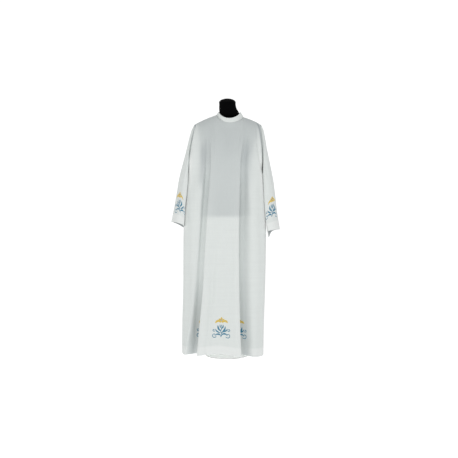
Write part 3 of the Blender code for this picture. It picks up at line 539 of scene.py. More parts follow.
def body_grid(panel, sections):
    """Outer points of a panel, rows from the hem up; where each column meets the top edge; and how far each
    column lies in a fold, from 0 on open cloth to 1 in the fold."""
    toward = -1.0 if panel == "front" else 1.0
    band_top = HEM_HEIGHT + HEM_BAND
    heights = np.concatenate([np.linspace(HEM_HEIGHT, band_top, HEM_ROWS),
                              np.linspace(band_top, UNDERARM_HEIGHT, SKIRT_ROWS)[1:]])
    grid = []
    for height in heights:
        points = panel_points(panel, sections, height)
        steps = []
        for left, right in zip(points[:-1], points[1:]):
            outer = left if left[4] == "left" else right
            steps.append(FINER * SPAN_STEPS["panel" if "panel" in (left[0], right[0]) else outer[0]])
        line = spline([(p[1], toward * p[2]) for p in points], steps)
        section = read_section(sections, height)
        near_hem = float(grows(height, HEM_HEIGHT + HEM_RISE_REACH, HEM_HEIGHT))
        grid.append([(x, y, height + near_hem * hem_rise(panel, x, section)) for x, y in line])
    places, folded = [], []
    for a, b, count in zip(points[:-1], points[1:], steps):
        inside = any(word in point[0] for point in (a, b) for word in ("tuck", "under"))
        places += [blend(a[3], b[3], k / count) for k in range(count)]
        folded += [float(inside)] * count
    places, folded = np.array(places + [points[-1][3]]), np.array(folded + [0.0])
    end = np.array([top_edge(panel, place) for place in places])
    edge = np.minimum(places, 3.0 - places)
    at_side = grows(edge, TOP_EDGE["corner"], 0.0)[:, None]
    at_neck = grows(edge, 1.0, 1.5)[:, None]
    leave = blend(LEAVE_CHEST, LEAVE_UNDERARM, at_side) * (1.0, toward, 1.0)
    over = blend(blend(OVER_SHOULDER, OVER_NECK, at_neck), OVER_TIP, at_side) * (1.0, -toward, 1.0)
    grid = np.array(grid)
    rise = [smooth_way(grid[-1], leave, end, over, j / ARMHOLE_ROWS) for j in range(1, ARMHOLE_ROWS + 1)]
    return np.concatenate([grid, rise]), places, folded


def arc_lengths(grid, axis):
    """How far along the cloth each point lies, from the first row or column."""
    steps = np.linalg.norm(np.diff(grid, axis=axis), axis=2)
    start = np.zeros_like(np.take(steps, [0], axis=axis))
    return np.concatenate([start, np.cumsum(steps, axis=axis)], axis=axis)


def from_sides(grid):
    """How far along the cloth each point lies from the left and from the right edge."""
    return {"left": arc_lengths(grid, 1), "right": arc_lengths(grid[:, ::-1], 1)[:, ::-1]}


def closed_ring(grid):
    """The grid of a tube with its first column once more after its last."""
    return np.concatenate([grid, grid[:, :1]], axis=1)


def grid_normals(grid, toward, closed=False):
    """Unit normals of a grid of points, turned toward one way, or toward a way of its own for each point."""
    if closed:
        across = np.roll(grid, -1, axis=1) - np.roll(grid, 1, axis=1)
    else:
        across = np.gradient(grid, axis=1)
    normals = np.cross(across, np.gradient(grid, axis=0))
    normals /= np.maximum(np.linalg.norm(normals, axis=2, keepdims=True), 1e-9)
    return normals * np.sign(np.sum(normals * toward, axis=2).mean())


def crease_lift(across, along, creases, waves=CREASE_WAVES, ends=CREASE_ENDS):
    """How far the creases of a table move each point of the cloth out."""
    lift = 0.0
    for row in creases:
        crease = dict(zip(CREASE_COLUMNS, row))
        down = (crease["top"] - along) / (crease["top"] - crease["foot"])
        sway = crease["wander"] * np.sin(waves[0] * down + waves[1] * crease["top_across"])
        middle = blend(crease["top_across"], crease["foot_across"], down) + sway
        width = blend(crease["top_width"], crease["foot_width"], np.clip(down, 0.0, 1.0))
        shows = grows(down, 0.0, ends[0]) * grows(down, 1.0, 1.0 - ends[1])
        lift = lift + crease["lift"] * shows * fading(across - middle, width)
    return lift


def armhole_sink(points, side):
    """The way that the points of an armhole edge sink, most a third of the way down from the shoulder tip."""
    inward = 1.0 if side == "left" else -1.0
    down = (SHOULDER_TIP[side][2] - points[..., 2]) / (SHOULDER_TIP[side][2] - UNDERARM_HEIGHT)
    depth = grows(down, 0.0, VALLEY_FULL) * blend(1.0, VALLEY_FOOT, grows(down, *VALLEY_FADES))
    way = np.zeros_like(points)
    way[..., 0] = VALLEY_INWARD * inward
    way[..., 1] = -points[..., 1] / (np.abs(points[..., 1]) + VALLEY_TURN)
    return way * ARMHOLE_VALLEY[side] * depth[..., None]


def form_behind(points):
    """How much of the black form shows: 1 right on it, less with the air between, 0 beside it."""
    x, y, z = points[..., 0], points[..., 1], points[..., 2]
    half_width, half_depth, middle = [np.interp(z, form_rows[:, 0], form_rows[:, k]) for k in (1, 2, 3)]
    aside = np.abs(x - middle)
    depth = half_depth * np.sqrt(1.0 - np.clip(aside / half_width, 0.0, 1.0) ** 2)
    air = np.maximum(np.abs(y) - depth, 0.0)
    shows = np.exp(-air / FORM_SHOWS)
    for inside, (reach, soft, softer) in ((half_width - aside, FORM_SIDE), (z - form_rows[0, 0], FORM_FOOT)):
        shows = shows * ease(0.5 + 0.5 * (inside + reach) / (soft + softer * air))
    return shows


def face_outwards(mesh, fill=False):
    """Turns every face of a mesh outwards; fill closes its open ends."""
    work = bmesh.new()
    work.from_mesh(mesh)
    if fill:
        bmesh.ops.holes_fill(work, edges=[edge for edge in work.edges if edge.is_boundary])
    bmesh.ops.recalc_face_normals(work, faces=work.faces)
    work.to_mesh(mesh)
    work.free()


def quads_between(spots):
    """Four-sided faces between the rows and columns of a grid of point numbers."""
    return np.stack([spots[:-1, :-1], spots[:-1, 1:], spots[1:, 1:], spots[1:, :-1]], axis=2).reshape(-1, 4)


def cloth_piece(name, outer, normals, thickness, material, marks, closed=False, inside=0.0):
    """A thin wall of cloth: the grid is its outer face, and the inner face lies a thickness behind it. Its UV
    map is the flat cloth in metres, and marks are values that its material reads; inside is painted shade
    on its inner face."""
    rows, columns = outer.shape[:2]
    inner = outer - normals * thickness[:, None, None]
    cloth = closed_ring(outer) if closed else outer
    wide = cloth.shape[1]
    spots = np.arange(rows * wide).reshape(rows, wide)
    behind = rows * wide
    front = quads_between(spots)
    edges = [spots[0, ::-1], spots[-1]] + ([] if closed else [spots[:, 0], spots[::-1, -1]])
    rims = [np.stack([line[:-1], line[1:], line[1:] + behind, line[:-1] + behind], axis=1) for line in edges]
    corners = np.concatenate([front, front[:, ::-1] + behind] + rims)
    point_of = (np.arange(rows)[:, None] * columns + np.arange(wide) % columns).ravel()
    faces = np.concatenate([point_of, point_of + rows * columns])[corners]
    mesh = bpy.data.meshes.new(name)
    mesh.from_pydata(np.concatenate([outer, inner]).reshape(-1, 3).tolist(), [], faces.tolist())
    flat = np.stack([arc_lengths(cloth, 1), arc_lengths(cloth, 0)], axis=2).reshape(-1, 2)
    layer = mesh.uv_layers.new(name="flat_cloth")
    layer.data.foreach_set("uv", np.concatenate([flat, flat])[corners.ravel()].astype(np.float32).ravel())
    for mark, values in marks.items():
        store = mesh.attributes.new(mark, "FLOAT", "POINT")
        # the inner face takes the painted shade of inside
        within = np.maximum(values, inside) if mark == "form_and_painted_shade" else values
        store.data.foreach_set("value", np.concatenate([values.ravel(), within.ravel()]).astype(np.float32))
    face_outwards(mesh)
    return finished_piece(name, mesh, [material], sharp=55)


def woven_material(name, open_colour, doubled_colour, form_and_shade_colour):
    """White woven cloth that the form behind darkens and a second layer whitens, with painted shade and
    light.
    """
    material, tree, shader = new_material(name, open_colour, 0.72, {
        "Sheen Weight": 0.08, "Sheen Roughness": 0.5, "Specular IOR Level": 0.12})
    slub = noise_texture(tree, 1.0, 5.0, (5.0, 5.0, 95.0))
    colour = ramp(tree, slub, tuple(0.972 * part for part in open_colour), open_colour)
    # a second layer and painted light whiten the cloth; the form behind and painted shade darken it
    for mark, toward in (("doubled", doubled_colour), ("painted_crevice_light", PAINTED_LIGHT_CLOTH),
                         ("form_and_painted_shade", form_and_shade_colour)):
        value = add_node(tree, "ShaderNodeAttribute", attribute_name=mark).outputs["Fac"]
        colour = add_node(tree, "ShaderNodeMix", {"Factor": value, "A": colour, "B": (*toward, 1.0)},
                          data_type="RGBA", clamp_factor=False).outputs["Result"]
    flat = add_node(tree, "ShaderNodeUVMap", uv_map="flat_cloth")
    warp, weft = [add_node(tree, "ShaderNodeTexWave", {
        "Vector": flat.outputs["UV"], "Scale": math.tau / (20.0 * WEAVE), "Distortion": 0.8, "Detail": 1.0,
        "Detail Scale": 2.0}, bands_direction=direction).outputs["Fac"] for direction in ("X", "Y")]
    cross = add_node(tree, "ShaderNodeMath", {0: warp, 1: weft}, operation="MULTIPLY").outputs[0]
    ripple = bump(tree, noise_texture(tree, 1.0, 2.0, (26.0, 26.0, 7.0)), 0.004, 0.45)
    set_inputs(tree, shader, {"Base Color": colour, "Normal": bump(tree, cross, 0.0002, 0.35, ripple)})
    return material


def sink_seams(outer, normals, columns=(), rows=()):
    """Turns the outer face in at its seams; the last point sinks most, the next one a little."""
    for points, ways, lines in ((outer, normals, rows),
                                (outer.swapaxes(0, 1), normals.swapaxes(0, 1), columns)):
        for line in lines:
            beside = line + (1 if line == 0 else -1)
            points[line] -= ways[line] * SEAM_SINK
            points[beside] -= ways[beside] * SEAM_SINK * SEAM_NEXT


def smooth_row(line, columns, share):
    """Evens out how far forward the chosen columns of a row lie, by a share of its own for each point."""
    if not np.any(share > 0.0):
        return
    x, y = line[columns, 0], line[columns, 1]
    weights = fading(x[:, None] - x[None, :], SMOOTH_REACH) * np.gradient(x)[None, :]
    edge = np.minimum(x - x[0], x[-1] - x)
    share = share[columns] * ease(edge / SMOOTH_EDGE)
    even = weights @ y / np.maximum(weights.sum(axis=1), 1e-9)
    line[columns, 1] = np.where(share > 0.0, blend(y, even, share), y)


def painted_armhole_shade(away, height, side):
    """Painted shade by an armhole: a line at its seam and one at the fold beside it, which meet below."""
    foot = SEAM_SHADE_FOOT[side]
    edge = SEAM_FOLD_PLACE[side] * grows(height, foot, foot + SEAM_FOLD_OPENS)
    lines = fading(away, SEAM_SHADE_WIDTH) + SEAM_FOLD_STRENGTH * fading(away - edge, SEAM_SHADE_WIDTH)
    return SEAM_SHADE * np.minimum(lines, SEAM_FOLD_STRENGTH) * grows(height, foot, foot + SEAM_SHADE_FADES)


def fold_marks(panel, grid, places):
    """How white the second layers of a panel's folds make it, and the painted shade in their hollows and
    starts.
    """
    doubled, hollow, painted_start_shade = np.zeros((3, *grid.shape[:2]))
    for fold in [dict(zip(FOLD_COLUMNS, row)) for row in FOLDS if row[0] == panel]:
        facing = -1.0 if fold["side"] == "left" else 1.0
        ridge_place = TOP_EDGE["ridge"] if facing < 0 else 3.0 - TOP_EDGE["ridge"]
        ridge = int(np.argmin(np.abs(places - ridge_place)))
        height = grid[:, ridge, 2][:, None]
        grown = fold_growth(fold, height)
        outside = (grid[..., 0] - grid[:, ridge, 0][:, None]) * facing
        beyond = (np.arange(grid.shape[1]) - ridge) * facing > 0
        layer = ease(0.5 + 0.5 * (fold["lap"] * grown ** 2 + outside) / LAP_SOFT)
        doubled += LAP_WHITENS * layer * grows(grown, 0.0, LAP_GROWN) * ~beyond
        # painted shade in the hollow beside the ridge, and where the fold starts
        hollow += fading(outside - FOLD_SHADE_REACH, FOLD_SHADE_REACH) * grows(grown, *FOLD_SHADE_GROWS) * beyond
        place, width, strength = YOUNG_SHADE[fold["side"]]
        starting = grows(height, *YOUNG_TOP) * grows(height, *YOUNG_FOOT)
        painted_start_shade += strength * starting * fading(outside - place, width) * beyond
    return doubled, hollow, painted_start_shade


def dressed_grid(panel, sections, creases):
    """The panel's grid with its creases and its armhole valleys, its normals and its marks."""
    toward = (0.0, -1.0, 0.0) if panel == "front" else (0.0, 1.0, 0.0)
    grid, places, folded = body_grid(panel, sections)
    between_ridges = (places > TOP_EDGE["ridge"]) & (places < 3.0 - TOP_EDGE["ridge"])
    below_top = ease((grid[-1, :, 2] - grid[..., 2]) / SMOOTH_EDGE)
    chest = grows(grid[..., 2], *SMOOTH_HEIGHTS)
    for row in range(len(grid)):
        smooth_row(grid[row], between_ridges, below_top[row])
        smooth_row(grid[row], np.full(len(places), True), below_top[row] * chest[row])
    lift = crease_lift(grid[..., 0], grid[..., 2], creases)
    lift *= (1.0 - folded) * ease((grid[-1, :, 2] - grid[..., 2]) / CREASE_CLEAR["top"])
    column = np.arange(grid.shape[1])
    lift *= ease(np.minimum(column, column[::-1]) / CREASE_CLEAR["side"])
    grid = grid + grid_normals(grid, toward) * lift[..., None]
    beside = grid[-ARMHOLE_ROWS - 1:]
    for (side, away), edge in zip(from_sides(beside).items(), (0, -1)):
        beside += armhole_sink(beside[:, edge], side)[:, None, :] * fading(away, VALLEY_WIDTH)[..., None]
    height = grid[..., 2]
    doubled, hollow, painted_start_shade = fold_marks(panel, grid, places)
    # the turned hem is doubled, so whiter, but not where the painted shade of a fold's hollow lies
    doubled[:HEM_ROWS] = 1.0 - hollow[:HEM_ROWS]
    away = np.minimum(np.abs(grid[..., 0] - grid[:, :1, 0]), np.abs(grid[..., 0] - grid[:, -1:, 0]))
    # painted light beside the sleeves, against the shade of the crevice there
    light = fading(away, CREVICE_REACH) * grows(height, *CREVICE_TOP) * grows(height, *CREVICE_FOOT)
    form = form_behind(grid) * blend(1.0, FORM_IN_RECESS, ~between_ridges * grows(height, *RECESS_HEIGHTS))
    # painted shade in the folds' hollows and where they start, over the form that shows through
    hollow = np.clip(hollow, 0.0, 1.0) * np.interp(height, FOLD_SHADE_SHARE["height"], FOLD_SHADE_SHARE["share"])
    dark = np.maximum(form + painted_start_shade, hollow)
    # painted shade along the armhole seams
    for side, away in from_sides(grid).items():
        dark = np.maximum(dark, painted_armhole_shade(away, height, side))
    marks = {"form_and_painted_shade": dark, "doubled": np.clip(doubled, 0.0, 1.0), "painted_crevice_light": light}
    return grid, grid_normals(grid, toward), places, marks


def panel_thickness(rows):
    """The wall of a panel row by row: the turned hem is thicker."""
    return np.where(np.arange(rows) < HEM_ROWS, TURNED_CLOTH, CLOTH)


white_cloth = woven_material("white_polyester", (0.72, 0.755, 0.74), (0.77, 0.795, 0.782),
                             (0.485, 0.520, 0.522))

front, front_normals, front_places, front_marks = dressed_grid("front", FRONT_SECTIONS, FRONT_CREASES)
front_outer = front.copy()
sink_seams(front_outer, front_normals, columns=(0, -1), rows=(-1,))
front_piece = cloth_piece("robe_front", front_outer, front_normals, panel_thickness(len(front)), white_cloth,
                          front_marks)
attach(front_piece, "root")
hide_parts("front_panel")

# ---- The two back halves ----
# The same cloth, joined by a seam down the middle that is left open above the shoulder blades, so that the
# head goes through. Each half has one deep fold.

BACK_SECTIONS = (
    (0.030, -0.281, -0.212, -0.128, 0.098, 0.158, 0.225, 0.178, 0.150, 0.018),
    (0.190, -0.277, -0.204, -0.124, 0.093, 0.156, 0.228, 0.172, 0.147, 0.014),
    (0.420, -0.270, -0.192, -0.118, 0.086, 0.152, 0.235, 0.163, 0.143, 0.008),
    (0.660, -0.268, -0.180, -0.112, 0.081, 0.148, 0.240, 0.152, 0.137, 0.004),
    (0.800, -0.266, -0.172, -0.108, 0.080, 0.146, 0.241, 0.144, 0.132, 0.002),
    (0.970, -0.253, -0.158, -0.101, 0.082, 0.140, 0.234, 0.132, 0.123, 0.000),
    (1.155, -0.236, -0.142, -0.094, 0.084, 0.132, 0.219, 0.120, 0.112, -0.003),
)
BACK_SLIT_HEIGHT = 1.215
BACK_SLIT_GAP = 0.0012
SEAM_GAP = 0.0003
BACK_CREASES = (
    (-0.180, 1.380, -0.215, 0.40, 0.008, 0.018, 0.028, -0.0035),
    (-0.225, 1.080, -0.245, -0.10, -0.006, 0.014, 0.020, 0.0032),
    (-0.055, 1.180, -0.082, -0.10, 0.010, 0.016, 0.028, -0.0032),
    (-0.018, 1.050, -0.034, -0.20, -0.006, 0.014, 0.022, 0.0030),
    (0.034, 1.120, 0.040, -0.10, 0.008, 0.016, 0.024, -0.0028),
    (0.066, 1.000, 0.062, 0.10, -0.005, 0.012, 0.018, 0.0024),
    (0.170, 1.300, 0.190, 0.20, 0.009, 0.018, 0.030, 0.0038),
    (0.205, 1.020, 0.208, -0.10, 0.005, 0.012, 0.018, -0.0028),
    (0.120, 1.390, 0.168, 1.16, 0.006, 0.016, 0.024, 0.0024),
    (-0.100, 1.390, -0.158, 1.14, -0.006, 0.018, 0.026, 0.0026),
)

back, back_normals, back_places, back_marks = dressed_grid("back", BACK_SECTIONS, BACK_CREASES)
middle = int(np.argmin(np.abs(back_places - 1.5)))
back_halves = {"left": slice(0, middle + 1), "right": slice(middle, None)}
back_pieces = {}
for side, columns in back_halves.items():
    half, half_normals = back[:, columns].copy(), back_normals[:, columns]
    seam, into = (-1, -1.0) if side == "left" else (0, 1.0)
    half[:, seam, 0] += into * np.where(half[:, seam, 2] > BACK_SLIT_HEIGHT, BACK_SLIT_GAP / 2, SEAM_GAP / 2)
    sink_seams(half, half_normals, columns=(0, -1), rows=(-1,))
    half_piece = cloth_piece("robe_back_" + side, half, half_normals, panel_thickness(len(half)), white_cloth,
                             {mark: values[:, columns] for mark, values in back_marks.items()})
    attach(half_piece, "root")
    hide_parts("back_" + side + "_panel")
    back_pieces[side] = (half_piece, half)

# ---- The sleeves ----
# Wide straight tubes of the same cloth with one seam under the arm, set into the armholes. They hang beside
# the body in long soft folds, and their cuffs are turned up and stitched.

CUFF_BAND = 0.045
SLEEVE_LENGTH = 0.62
SLEEVE_ROWS = 110
SLEEVE_COLUMNS = ("outer_x", "outer_z", "inner_x", "inner_z", "half_depth", "middle_y", "lean")
SLEEVE_SECTIONS = {
    "left": (
        (-0.204, 1.4355, -0.236, 1.155, 0.062, 0.000, 0.00),
        (-0.225, 1.390, -0.243, 1.118, 0.073, -0.004, 0.02),
        (-0.2485, 1.290, -0.2470, 1.070, 0.084, -0.010, 0.09),
        (-0.2725, 1.195, -0.2515, 1.020, 0.090, -0.016, 0.19),
        (-0.294, 1.105, -0.2560, 0.970, 0.093, -0.022, 0.24),
        (-0.308, 1.015, -0.2622, 0.920, 0.095, -0.027, 0.28),
        (-0.325, 0.925, -0.2668, 0.865, 0.097, -0.031, 0.32),
        (-0.345, 0.829, -0.2712, 0.796, 0.099, -0.034, 0.35),
    ),
    "right": (
        (0.2135, 1.435, 0.219, 1.155, 0.062, 0.000, 0.00),
        (0.231, 1.390, 0.2260, 1.115, 0.073, -0.004, 0.04),
        (0.249, 1.285, 0.2300, 1.062, 0.084, -0.010, 0.15),
        (0.270, 1.180, 0.2350, 1.008, 0.090, -0.015, 0.22),
        (0.288, 1.085, 0.2395, 0.952, 0.093, -0.020, 0.27),
        (0.301, 0.985, 0.2425, 0.895, 0.095, -0.024, 0.30),
        (0.312, 0.885, 0.2455, 0.834, 0.097, -0.028, 0.31),
        (0.329, 0.782, 0.2580, 0.768, 0.099, -0.030, 0.32),
    ),
}
SLEEVE_SQUARE = 0.85
CUFF_BACK_DROP = {"left": 0.004, "right": 0.036}     # how much lower a cuff hangs at its back
CUFF_DROP_TURN = 1.84 * math.pi
CUFF_DROP_POINT = 5.0                                # how pointed that is
SLEEVE_DENT = {"left": 0.010, "right": 0.008}        # how far a sleeve's front caves in at its cuff
DENT_TURN = 1.70
DENT_WIDTH = 0.42
LEAN_POINT = 1.4                                     # how pointed the side that leans to the body is
ARMHOLE_REACH = 3.0                                  # how fast a sleeve leaves the shape of its armhole

# What shows through the sleeves: the form. Painted as well: shade on their insides and along the armhole
# seam, and light beside the body. The turns are in radians from the seam under the arm.
SLEEVE_INSIDE_SHADE = 1.0                                  # painted shade on the inside of a sleeve
SLEEVE_FORM_SHOWS = 0.8
SLEEVE_SEAM_SHADE = 0.9
SLEEVE_SHADE_WIDTH = 0.006
SLEEVE_LIGHT_TURN = (1.30, 0.70)                     # painted light beside the body
SLEEVE_LIGHT_FROM = 0.1                              # the share of its length from which it does

# Soft creases down the sleeves, by their turn round the tube and their share of its length: the turn and the
# place of their top, those of their foot, their width and their lift.
SLEEVE_CREASES = {
    "left": ((1.15, 0.02, 1.30, 0.85, 0.16, 0.0040), (2.30, 0.10, 2.45, 1.10, 0.20, -0.0035),
             (2.85, 0.05, 2.90, 0.95, 0.16, 0.0030), (4.20, 0.08, 3.95, 0.90, 0.22, 0.0045),
             (4.80, 0.15, 4.60, 1.10, 0.18, -0.0035), (5.50, 0.10, 5.40, 0.80, 0.18, 0.0030)),
    "right": ((1.00, 0.05, 1.20, 0.90, 0.15, 0.0035), (1.85, 0.02, 2.05, 0.55, 0.14, -0.0030),
              (2.50, 0.12, 2.55, 1.10, 0.20, 0.0038), (4.10, 0.08, 4.25, 0.95, 0.22, 0.0045),
              (4.90, 0.12, 4.95, 1.10, 0.18, -0.0038), (5.45, 0.15, 5.35, 0.85, 0.18, 0.0028)),
}
SLEEVE_CREASE_WANDER = 0.06
SLEEVE_CREASE_WAVES = (6.0, 1.0)
SLEEVE_CREASE_ENDS = (0.20, 0.25)


def squared(value):
    """A sine or cosine that makes a ring a little squarer than an ellipse."""
    return np.copysign(np.abs(value) ** SLEEVE_SQUARE, value)


def sleeve_grid(side, armhole):
    """Outer points of a sleeve, rows from the armhole to the cuff, columns round from the underarm by the
    front; the turn of each column and the share of the length of each row."""
    rows = np.array(SLEEVE_SECTIONS[side])
    slopes = np.gradient(rows, axis=0)
    count = armhole.shape[0]
    turn = math.tau * np.arange(count) / count
    toward_body = 1.0 if side == "left" else -1.0
    cuff_start = 1.0 - CUFF_BAND / SLEEVE_LENGTH
    shares = np.concatenate([np.linspace(0.0, cuff_start, SLEEVE_ROWS)[:-1],
                             np.linspace(cuff_start, 1.0, HEM_ROWS)])
    low = np.maximum(np.cos(turn - CUFF_DROP_TURN), 0.0) ** CUFF_DROP_POINT
    dent = fading(turn - DENT_TURN, DENT_WIDTH)
    leaning = toward_body * np.maximum(np.sin(turn), 0.0) ** LEAN_POINT
    across = 0.5 - 0.5 * squared(np.cos(turn))
    grid = []
    for share in shares:
        i = min(int(share * (len(rows) - 1)), len(rows) - 2)
        row = smooth_way(rows[i], slopes[i], rows[i + 1], slopes[i + 1], share * (len(rows) - 1) - i)
        at = dict(zip(SLEEVE_COLUMNS, row))
        x = blend(at["inner_x"], at["outer_x"], across) + leaning * at["lean"] * at["half_depth"]
        y = at["middle_y"] - at["half_depth"] * squared(np.sin(turn)) + SLEEVE_DENT[side] * share * dent
        z = blend(at["inner_z"], at["outer_z"], across) - CUFF_BACK_DROP[side] * share ** 2 * low
        grid.append(np.stack([x, y, z], axis=1))
    grid = np.array(grid)
    grid += (armhole - grid[0]) * ((1.0 - shares) ** ARMHOLE_REACH)[:, None, None]
    return grid, turn, shares


def round_armhole(front_edge, back_edge):
    """An armhole as one ring: up the front's edge and down the back's."""
    return np.concatenate([front_edge, back_edge[::-1][1:-1]])


sleeves = {}
for side, column in (("left", 0), ("right", -1)):
    edges = front[-ARMHOLE_ROWS - 1:, column], back[-ARMHOLE_ROWS - 1:, column]
    grid, turn, shares = sleeve_grid(side, round_armhole(*edges))
    outward = grid - grid.mean(axis=1, keepdims=True)
    creases = [(top_turn, top, foot_turn, foot, SLEEVE_CREASE_WANDER, width, width, lift)
               for top_turn, top, foot_turn, foot, width, lift in SLEEVE_CREASES[side]]
    lift = crease_lift(turn[None, :], shares[:, None], creases, SLEEVE_CREASE_WAVES, SLEEVE_CREASE_ENDS)
    grid = grid + grid_normals(grid, outward, closed=True) * lift[..., None]
    fall = fading(arc_lengths(grid, 0), VALLEY_WIDTH)
    fall[0] = 0.0
    grid += round_armhole(*[armhole_sink(edge, side) for edge in edges]) * fall[..., None]
    normals = grid_normals(grid, outward, closed=True)
    outer = grid.copy()
    sink_seams(outer, normals, rows=(0,))
    in_cuff = np.arange(len(grid)) >= len(grid) - HEM_ROWS
    # painted light beside the body, against the shade of the crevice there
    light = (grows(np.minimum(turn, math.tau - turn), *SLEEVE_LIGHT_TURN)
             * (grows(shares, 0.0, SLEEVE_LIGHT_FROM) * ~in_cuff)[:, None])
    # painted shade along the armhole seam
    seam = (fading(arc_lengths(grid, 0), SLEEVE_SHADE_WIDTH)
            * grows(grid[0, :, 2], SEAM_SHADE_FOOT[side], SEAM_SHADE_FOOT[side] + SEAM_SHADE_FADES))
    dark = np.maximum(SLEEVE_FORM_SHOWS * form_behind(grid), SLEEVE_SEAM_SHADE * seam)
    marks = {"form_and_painted_shade": dark, "doubled": np.zeros(light.shape) + in_cuff[:, None], "painted_crevice_light": light}
    sleeve = cloth_piece("robe_sleeve_" + side, outer, normals, np.where(in_cuff, TURNED_CLOTH, CLOTH),
                         white_cloth, marks, closed=True, inside=SLEEVE_INSIDE_SHADE)
    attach(sleeve, "root")
    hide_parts("sleeve_" + side)
    sleeves[side] = (sleeve, grid, normals)

# ---- The stand collar ----
# Two layers of the cloth cut as a narrow band, sewn to the neckline and topstitched along both edges. It
# stands up round the neck and meets at the back.

COLLAR_TOP_SIDE = {"left": (-0.0525, -0.004, 1.5170), "right": (0.0840, -0.004, 1.5155)}
COLLAR_TOP_FRONT = (0.0135, -0.072, 1.4640)
COLLAR_TOP_BACK = (0.0150, 0.062, 1.5090)
COLLAR_SLIT = 0.0012
COLLAR_CLOTH = 0.0020
COLLAR_STEPS = 60
COLLAR_ROWS = 15
TOPSTITCH_INSET = 0.0045
STITCH_DENT = (0.0003, 0.0014)                       # how deep and how wide a row of stitches draws it in
COLLAR_PUFF = 0.0005
COLLAR_POINTED = 1.3                                 # how pointed its top edge dips at the front and back
COLLAR_DOUBLED = 0.6                                 # how much its second layer whitens it

collar_cloth = woven_material("collar_polyester", (0.70, 0.735, 0.72), (0.76, 0.79, 0.775),
                              (0.60, 0.63, 0.63))

base_line, top_line = [], []
collar_places = ([("back", 0.5 - i / COLLAR_STEPS) for i in range(COLLAR_STEPS // 2)]
                 + [("front", i / COLLAR_STEPS) for i in range(COLLAR_STEPS + 1)]
                 + [("back", 1.0 - i / COLLAR_STEPS) for i in range(1, COLLAR_STEPS // 2 + 1)])
for which, share in collar_places:
    base_line.append(top_edge(which, 1.0 + share))
    turn = math.pi * share
    edge = COLLAR_TOP_SIDE["left" if share < 0.5 else "right"]
    centre = COLLAR_TOP_FRONT if which == "front" else COLLAR_TOP_BACK
    level = blend(COLLAR_TOP_SIDE["left"][2], COLLAR_TOP_SIDE["right"][2], 0.5 - 0.5 * math.cos(turn))
    top_line.append((centre[0] + (edge[0] - centre[0]) * abs(math.cos(turn)),
                     edge[1] + (centre[1] - edge[1]) * math.sin(turn),
                     level + (centre[2] - level) * math.sin(turn) ** COLLAR_POINTED))
base_line, top_line = np.array(base_line), np.array(top_line)
for line in (base_line, top_line):
    line[(0, -1), 0] += (-COLLAR_SLIT / 2, COLLAR_SLIT / 2)
rise = np.linspace(0.0, 1.0, COLLAR_ROWS)
collar = np.array([blend(base_line, top_line, share) for share in rise])
collar_normals = grid_normals(collar, collar - collar.mean(axis=1, keepdims=True))
collar_height = arc_lengths(collar, 0)
topstitches = (TOPSTITCH_INSET, collar_height[-1].mean() - TOPSTITCH_INSET)
quilt = COLLAR_PUFF * np.sin(math.pi * rise)[:, None]
for inset in topstitches:
    quilt = quilt - STITCH_DENT[0] * fading(collar_height - inset, STITCH_DENT[1])
collar_outer = collar + collar_normals * quilt[..., None]
sink_seams(collar_outer, collar_normals, rows=(0, -1))
collar_piece = cloth_piece("robe_collar", collar_outer, collar_normals, np.full(COLLAR_ROWS, COLLAR_CLOTH),
                           collar_cloth, {"form_and_painted_shade": np.zeros(collar.shape[:2]),
                                          "doubled": np.full(collar.shape[:2], COLLAR_DOUBLED)})
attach(collar_piece, "root")
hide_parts("collar_band")

# ---- The collar's button ----
# A small white plastic button with four holes, sewn on over the slit at the back of the collar. Its thread
# runs through the holes in two strands.

BUTTON_RADIUS = 0.006
BUTTON_THICK = 0.0026
BUTTON_PROFILE = ((0.80, 0.0), (0.93, 0.07), (1.00, 0.25), (1.00, 0.62), (0.97, 0.86), (0.90, 1.00),
                  (0.80, 0.98), (0.66, 0.84), (0.50, 0.76))     # shares of the two above
BUTTON_HOLE = 0.0008
HOLE_PLACE = 0.0015
SEWING_THREAD = 0.0003
THREAD_SIDES = 6
THREAD_STEPS = 9
THREAD_LEVEL = 0.74                                  # the share of the button's thickness that it rises from
THREAD_RISE = 0.0009

button_plastic, tree, shader = new_material("white_button", (0.80, 0.81, 0.80), 0.22,
                                            {"Coat Weight": 0.25, "Coat Roughness": 0.12})
pearl = noise_texture(tree, 260.0, 3.0, (1.0, 1.0, 3.0))
set_inputs(tree, shader, {"Base Color": ramp(tree, pearl, (0.76, 0.77, 0.77), (0.84, 0.85, 0.83)),
                          "Normal": bump(tree, pearl, 0.00005, 0.2)})

lean = math.atan2(NECK_BACK[1] - COLLAR_TOP_BACK[1], COLLAR_TOP_BACK[2] - NECK_BACK[2])
button_facing = np.array((0.0, math.cos(lean), math.sin(lean)))
button_up = np.array((0.0, -math.sin(lean), math.cos(lean)))
button_middle = np.mean(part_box("collar_button"), axis=0)


def onto_collar(piece):
    """Turns a piece that was made level round the origin to face out from the back of the collar."""
    points = np.array([vertex.co[:] for vertex in piece.data.vertices])
    placed = (button_middle + points[:, :1] * (-1.0, 0.0, 0.0) + points[:, 1:2] * button_up
              + (points[:, 2:] - BUTTON_THICK / 2) * button_facing)
    piece.data.vertices.foreach_set("co", placed.astype(np.float32).ravel())
    piece.data.update()


